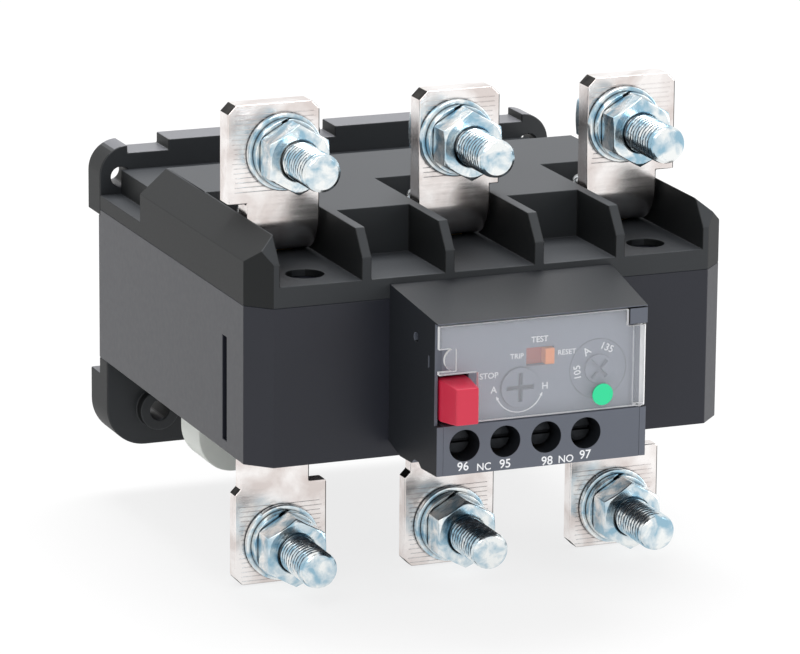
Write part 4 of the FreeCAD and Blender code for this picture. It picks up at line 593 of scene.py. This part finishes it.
def boltPieces(size):
    tree = threadTree(blueZinc)
    length = (size["reach"] - size["nutFace"] + size["sunk"]) * mm
    one = evaluatedTree(tree, {"Length": length, "Radius": size["radius"] * mm,
                               "Pitch": size["pitch"] * mm, "Depth": size["depth"] * mm,
                               "Point Radius": size["pointRadius"] * mm,
                               "Around": size["around"], "Along": size["along"]})
    shape = bmesh.new()
    for bolt in stations:
        copy = one.copy()
        tip = bolt["seat"] - Vector((0, size["reach"] * mm, 0))
        copy.transform(Matrix.Translation(tip))
        shape.from_mesh(copy)
        bpy.data.meshes.remove(copy)
    bmesh.ops.recalc_face_normals(shape, faces=shape.faces)
    mesh = meshFromShape(shape, "threads")
    mesh.shade_smooth()
    mesh.set_sharp_from_angle(angle=math.radians(size["sharp"]))
    pieceFromMesh("bolt_threads", mesh, "base", [blueZinc, threadRootShade])
    # painted shade: faces within the root radius, short of the point, take the dark copy
    for face in mesh.polygons:
        bolt = min(stations, key=lambda b: (b["seat"] - face.center).xz.length)
        turn = (face.center - bolt["seat"]).xz.length
        inside = face.center.y > bolt["seat"].y - (size["reach"] - size["pointLength"]) * mm
        face.material_index = int(inside and turn < size["rootRadius"] * mm)
    cut = {b["level"]: b["seat"].y - (size["nutFace"] + size["shankEnd"]) * mm for b in stations}
    middle = (studTop + studBottom) / 2
    rest = softened("terminal_bolts", edgeWidths["hardware"],
                    keep=lambda c: c.y > cut["top" if c.z > middle else "bottom"])
    pieceFromMesh("terminal_bolts_plated", rest, "base", [blueZinc],
                  ("terminal_bolts",))


boltPieces(boltShape)
print("bolts threaded:", len(stations))


# Ground ribs beside the washers, made with geometry nodes. Sizes in mm.
ribShape = {"pitch": 1.25, "count": 17, "proud": 0.10, "inset": 1.6, "wander": 0.5}


def ribTree(material):
    tree = bpy.data.node_groups.new("groundRibs", "GeometryNodeTree")
    for name in ("Width", "Pitch", "Proud", "Wander"):
        tree.interface.new_socket(name, in_out="INPUT", socket_type="NodeSocketFloat")
    for name in ("Count", "Seed"):
        tree.interface.new_socket(name, in_out="INPUT", socket_type="NodeSocketInt")
    tree.interface.new_socket("Geometry", in_out="OUTPUT", socket_type="NodeSocketGeometry")
    given = addNode(tree, "NodeGroupInput").outputs
    step = addNode(tree, "ShaderNodeCombineXYZ", {2: given["Pitch"]})
    line = addNode(tree, "GeometryNodeMeshLine", {"Count": given["Count"],
                                                  "Offset": step.outputs[0]})
    lowEnd = addNode(tree, "ShaderNodeMath", {0: given["Wander"], 1: -1.0}, operation="MULTIPLY")
    shift = addNode(tree, "FunctionNodeRandomValue",
                    {2: lowEnd.outputs[0], 3: given["Wander"], "Seed": given["Seed"]},
                    data_type="FLOAT")
    sideways = addNode(tree, "ShaderNodeCombineXYZ", {0: shift.outputs[1]})
    moved = addNode(tree, "GeometryNodeSetPosition", {"Geometry": line.outputs[0],
                                                      "Offset": sideways.outputs[0]})
    half = addNode(tree, "ShaderNodeMath", {0: given["Width"], 1: 0.5}, operation="MULTIPLY")
    back = addNode(tree, "ShaderNodeMath", {0: given["Width"], 1: -0.5}, operation="MULTIPLY")
    start = addNode(tree, "ShaderNodeCombineXYZ", {0: back.outputs[0]})
    end = addNode(tree, "ShaderNodeCombineXYZ", {0: half.outputs[0]})
    bar = addNode(tree, "GeometryNodeCurvePrimitiveLine", {"Start": start.outputs[0],
                                                           "End": end.outputs[0]})
    section = addNode(tree, "GeometryNodeCurvePrimitiveCircle", {"Resolution": 8,
                                                                 "Radius": given["Proud"]})
    rod = addNode(tree, "GeometryNodeCurveToMesh", {"Curve": bar.outputs[0],
                                                    "Profile Curve": section.outputs[0],
                                                    "Fill Caps": True})
    many = addNode(tree, "GeometryNodeInstanceOnPoints", {"Points": moved.outputs[0],
                                                          "Instance": rod.outputs[0]})
    real = addNode(tree, "GeometryNodeRealizeInstances", {0: many.outputs[0]})
    dressed = addNode(tree, "GeometryNodeSetMaterial", {"Geometry": real.outputs[0],
                                                        "Material": material})
    addNode(tree, "NodeGroupOutput", {"Geometry": dressed.outputs[0]})
    return tree


def lugRibs(size):
    tree = ribTree(nickelPlate)
    shape = bmesh.new()
    for number, bolt in enumerate(stations):
        low, high = bolt["bar"]
        width = high.x - low.x - 2 * size["inset"] * mm
        one = evaluatedTree(tree, {"Width": width, "Pitch": size["pitch"] * mm,
                                   "Proud": size["proud"] * mm, "Wander": size["wander"] * mm,
                                   "Count": size["count"], "Seed": number})
        start = bolt["seat"].z - (size["count"] - 1) / 2 * size["pitch"] * mm
        one.transform(Matrix.Translation(((low.x + high.x) / 2, bolt["seat"].y, start)))
        shape.from_mesh(one)
        bpy.data.meshes.remove(one)
    mesh = meshFromShape(shape, "ribs")
    mesh.shade_smooth()
    pieceFromMesh("lug_ribs", mesh, "base", [nickelPlate])


lugRibs(ribShape)
print("ribs ground")


# Lettering, in print thickness. Letter heights and places in mm.
inkHeight = 0.02 * mm
inkJoin = 0.0005 * mm
letteringSizes = {"face": 2.15, "small": 1.9, "big": 2.5, "terminal": 3.2, "contact": 2.7,
                  "dial": 2.6, "mark": 2.9}


def letters(name, text, spot, size, body, turn=0.0):
    curve = bpy.data.curves.new(name, "FONT")
    curve.body = text
    curve.size = size * mm
    curve.align_x, curve.align_y = "CENTER", "CENTER"
    curve.extrude = inkHeight / 2
    curve.offset = 0.012 * size * mm
    curve.resolution_u = 4
    holder = bpy.data.objects.new(name + "_curve", curve)
    scene.collection.objects.link(holder)
    graph = bpy.context.evaluated_depsgraph_get()
    mesh = bpy.data.meshes.new_from_object(holder.evaluated_get(graph))
    bpy.data.objects.remove(holder)
    bpy.data.curves.remove(curve)
    mesh.transform(Matrix.Translation(spot) @ Matrix.Rotation(-math.radians(turn), 4, "Y")
                   @ Matrix.Rotation(math.pi / 2, 4, "X"))
    pieceFromMesh(name, mesh, body, [whiteInk])


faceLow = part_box("face_plate")[0]
faceInk = faceLow.y - inkHeight
# each word with its place across and up from the low corner, and its kind of letter
faceWords = {"test_word": ("TEST", 27.1, 19.5, "face"),
             "trip_word": ("TRIP", 20.9, 15.6, "small"),
             "reset_word": ("RESET", 34.6, 15.5, "small"),
             "stop_word": ("STOP", 13.3, 11.2, "face"),
             "a_word": ("A", 14.7, 7.4, "big"), "h_word": ("H", 28.7, 7.2, "big")}
for name, (text, across, up, size) in faceWords.items():
    letters(name, text, Vector((faceLow.x + across * mm, faceInk, faceLow.z + up * mm)),
            letteringSizes[size], "base")

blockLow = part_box("terminal_block")[0]
blockInk = blockLow.y - inkHeight
blockWords = {"word_96": ("96", 5.4, 2.0, "terminal"), "word_nc": ("NC", 11.1, 1.4, "contact"),
              "word_95": ("95", 16.9, 1.6, "terminal"), "word_98": ("98", 28.4, 1.2, "terminal"),
              "word_no": ("NO", 33.6, 1.2, "contact"), "word_97": ("97", 38.9, 1.8, "terminal")}
for name, (text, across, up, size) in blockWords.items():
    letters(name, text, Vector((blockLow.x + across * mm, blockInk, blockLow.z + up * mm)),
            letteringSizes[size], "base")

dialMiddle = midPoint("current_dial")
dialLift = 0.1 * mm                                # the disc's print lies before the plate's
dialInk = faceLow.y - dialLift - inkHeight
dialWords = {"dial_105": ("105", -5.6, -0.6), "dial_a": ("A", -3.1, 4.6),
             "dial_135": ("135", 2.4, 5.2)}
for name, (text, across, up) in dialWords.items():
    spot = Vector((dialMiddle.x + across * mm, dialInk, dialMiddle.z + up * mm))
    size = letteringSizes["mark" if text == "A" else "dial"]
    letters(name, text, spot, size, "current_dial_body",
            math.degrees(math.atan2(-across, up)))
print("lettering placed")


# Arrow arc under the mode dial, and thin dark rings of painted shade in the gaps around the dials.
# Sizes in mm, angles in degrees.
arcShape = {"radius": 6.5, "width": 0.28, "from": 205, "to": 335, "head": 1.0, "steps": 40,
            "headHalf": 0.45}
gapShadeShape = {"width": 0.16, "mode": 5.3, "current": 7.8, "steps": 72}


def flatBand(middle, y, inner, outer, first, last, steps):
    shape = bmesh.new()
    rows = []
    for k in range(steps + 1):
        a = math.radians(first + (last - first) * k / steps)
        rows.append([shape.verts.new((middle.x + r * math.cos(a), yy, middle.z + r * math.sin(a)))
                     for r, yy in ((inner, y), (outer, y), (outer, y + inkHeight),
                                   (inner, y + inkHeight))])
    for one, two in zip(rows, rows[1:]):
        for i in range(4):
            shape.faces.new((one[i], one[(i + 1) % 4], two[(i + 1) % 4], two[i]))
    if abs(last - first) < 359:
        shape.faces.new(rows[0])
        shape.faces.new(rows[-1])
    bmesh.ops.remove_doubles(shape, verts=shape.verts, dist=inkJoin)
    return shape


def arrowArc(size):
    middle = midPoint("mode_dial")
    r, w, h = size["radius"] * mm, size["width"] * mm / 2, size["head"] * mm
    y = faceInk
    shape = flatBand(middle, y, r - w, r + w, size["from"], size["to"], size["steps"])
    for a, way in ((size["from"], -1), (size["to"], 1)):
        a = math.radians(a)
        out = Vector((math.cos(a), 0, math.sin(a)))
        ahead = Vector((-math.sin(a), 0, math.cos(a))) * way
        base = Vector((middle.x, y, middle.z)) + out * r
        side = out * h * size["headHalf"]
        corners = [base + side, base - side, base + ahead * h]
        front = [shape.verts.new(c) for c in corners]
        rear = [shape.verts.new(c + Vector((0, inkHeight, 0))) for c in corners]
        shape.faces.new(front)
        shape.faces.new(rear)
        for i in range(3):
            shape.faces.new((front[i], front[(i + 1) % 3], rear[(i + 1) % 3], rear[i]))
    bmesh.ops.recalc_face_normals(shape, faces=shape.faces)
    pieceFromMesh("arrow_arc", meshFromShape(shape, "arc"), "base", [whiteInk])


arrowArc(arcShape)


# painted shade: a thin dark ring on the plate, where the dial's gap lies
def gapShadeRing(name, middle, radius, y, body):
    half = gapShadeShape["width"] * mm / 2
    shape = flatBand(middle, y, radius - half, radius + half, 0, 360, gapShadeShape["steps"])
    bmesh.ops.recalc_face_normals(shape, faces=shape.faces)
    pieceFromMesh(name, meshFromShape(shape, name), body, [slotShadeAcetal])


gapShadeRing("mode_dial_gap", midPoint("mode_dial"), gapShadeShape["mode"] * mm, faceInk, "base")
gapShadeRing("current_dial_gap", dialMiddle, gapShadeShape["current"] * mm, faceInk, "base")
print("dials outlined")


# Spring behind the stop button, with a mesh of its own; the real spring shortens as the button
# goes in.
def springPiece(node):
    shape = bmesh.new()
    shape.from_mesh(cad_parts[node].data)
    bmesh.ops.remove_doubles(shape, verts=shape.verts, dist=joinFine * mm)
    mesh = meshFromShape(shape, "springWire")
    mesh.shade_smooth()
    wire = pieceFromMesh("stop_spring_wire", mesh, "base", [turnedSteel], (node,))
    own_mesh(wire)


springPiece("stop_spring")
print("spring placed")


# Pieces that keep the construction's own mesh, each with its finish.
carried = {"case_screws": turnedSteel, "heater_connectors": drawnBrass, "bimetals": rolledBimetal,
           "heaters": heaterAlloy, "trip_bar": ivoryNylon, "contact_strips": drawnBrass,
           "wire_clamps": blueZinc, "current_cam": ivoryNylon,
           "seal_disc": greenInk, "mechanism_frame": blackAcetal, "trip_lever": ivoryNylon,
           "contact_rocker": ivoryNylon, "moving_contacts": silverAlloy}
for node, material in carried.items():
    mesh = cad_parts[node].data
    mesh.materials.clear()
    mesh.materials.append(material)
print("inner pieces finished:", len(carried))


# Floor, lamps and world: sizes and places in metres, powers in watts.
studio = {"floor": 3.0, "floorGap": 0.3 * mm, "floorGlow": 0.8, "worldStrength": 0.52}
lamps = {"keyLamp": {"from": (-0.9, -1.3, 1.4), "size": (0.9, 0.9), "power": 7.0},
         "topLamp": {"from": (0.2, 0.5, 1.6), "size": (1.2, 0.9), "power": 27.0},
         "fillLamp": {"from": (1.5, -0.9, 0.5), "size": (0.8, 1.2), "power": 9.0}}


# 1 for the rays that make the picture, straight, mirrored or through clear plastic; 0 for light
def shownRays(tree):
    rays = addNode(tree, "ShaderNodeLightPath").outputs
    seen = addNode(tree, "ShaderNodeMath", {0: rays["Is Camera Ray"], 1: rays["Is Glossy Ray"]},
                   operation="MAXIMUM")
    seen = addNode(tree, "ShaderNodeMath", {0: seen.outputs[0], 1: rays["Is Transmission Ray"]},
                   operation="MAXIMUM")
    return seen.outputs[0]


def makeFloor(size):
    shape = bmesh.new()
    z = cadLow.z - studio["floorGap"]
    shape.faces.new([shape.verts.new((x * size, y * size, z))
                     for x, y in ((-1, -1), (1, -1), (1, 1), (-1, 1))])
    mesh = meshFromShape(shape, "floor")
    floor = bpy.data.objects.new("floor", mesh)
    scene.collection.objects.link(floor)
    material, tree, shader = newMaterial("palePaper")      # seamless paper, matte
    shader.inputs["Base Color"].default_value = linearColour("#F4F4F4")
    shader.inputs["Roughness"].default_value = 0.9
    shader.inputs["Specular IOR Level"].default_value = 0.1
    share = addNode(tree, "ShaderNodeMath", {0: shownRays(tree), 1: studio["floorGlow"]},
                    operation="MULTIPLY")
    glow = addNode(tree, "ShaderNodeEmission", {"Color": (1, 1, 1, 1), "Strength": 1.0})
    mixed = addNode(tree, "ShaderNodeMixShader", {0: share.outputs[0], 1: shader.outputs[0],
                                                  2: glow.outputs[0]})
    tree.links.new(mixed.outputs[0], tree.nodes["Material Output"].inputs["Surface"])
    mesh.materials.append(material)


def makeLamp(name, aim, given):
    data = bpy.data.lights.new(name, "AREA")
    data.shape = "RECTANGLE"
    data.size, data.size_y = given["size"]
    data.energy = given["power"]
    lamp = bpy.data.objects.new(name, data)
    away = Vector(given["from"])
    facing = away.to_track_quat("Z", "Y").to_matrix().to_4x4()
    lamp.matrix_world = Matrix.Translation(aim + away) @ facing
    scene.collection.objects.link(lamp)


def makeWorld(strength):
    world = bpy.data.worlds.new("studio")
    world.use_nodes = True
    scene.world = world
    tree = world.node_tree
    back = tree.nodes["Background"]
    level = addNode(tree, "ShaderNodeMapRange", {"Value": shownRays(tree), 3: strength, 4: 1.0})
    back.inputs["Color"].default_value = (1, 1, 1, 1)
    tree.links.new(level.outputs[0], back.inputs["Strength"])


makeFloor(studio["floor"])
makeWorld(studio["worldStrength"])
for name, given in lamps.items():
    makeLamp(name, (cadLow + cadHigh) / 2, given)
scene.view_settings.view_transform = "Standard"
print("studio lit:", len(lamps), "lamps")

print("scene ready")
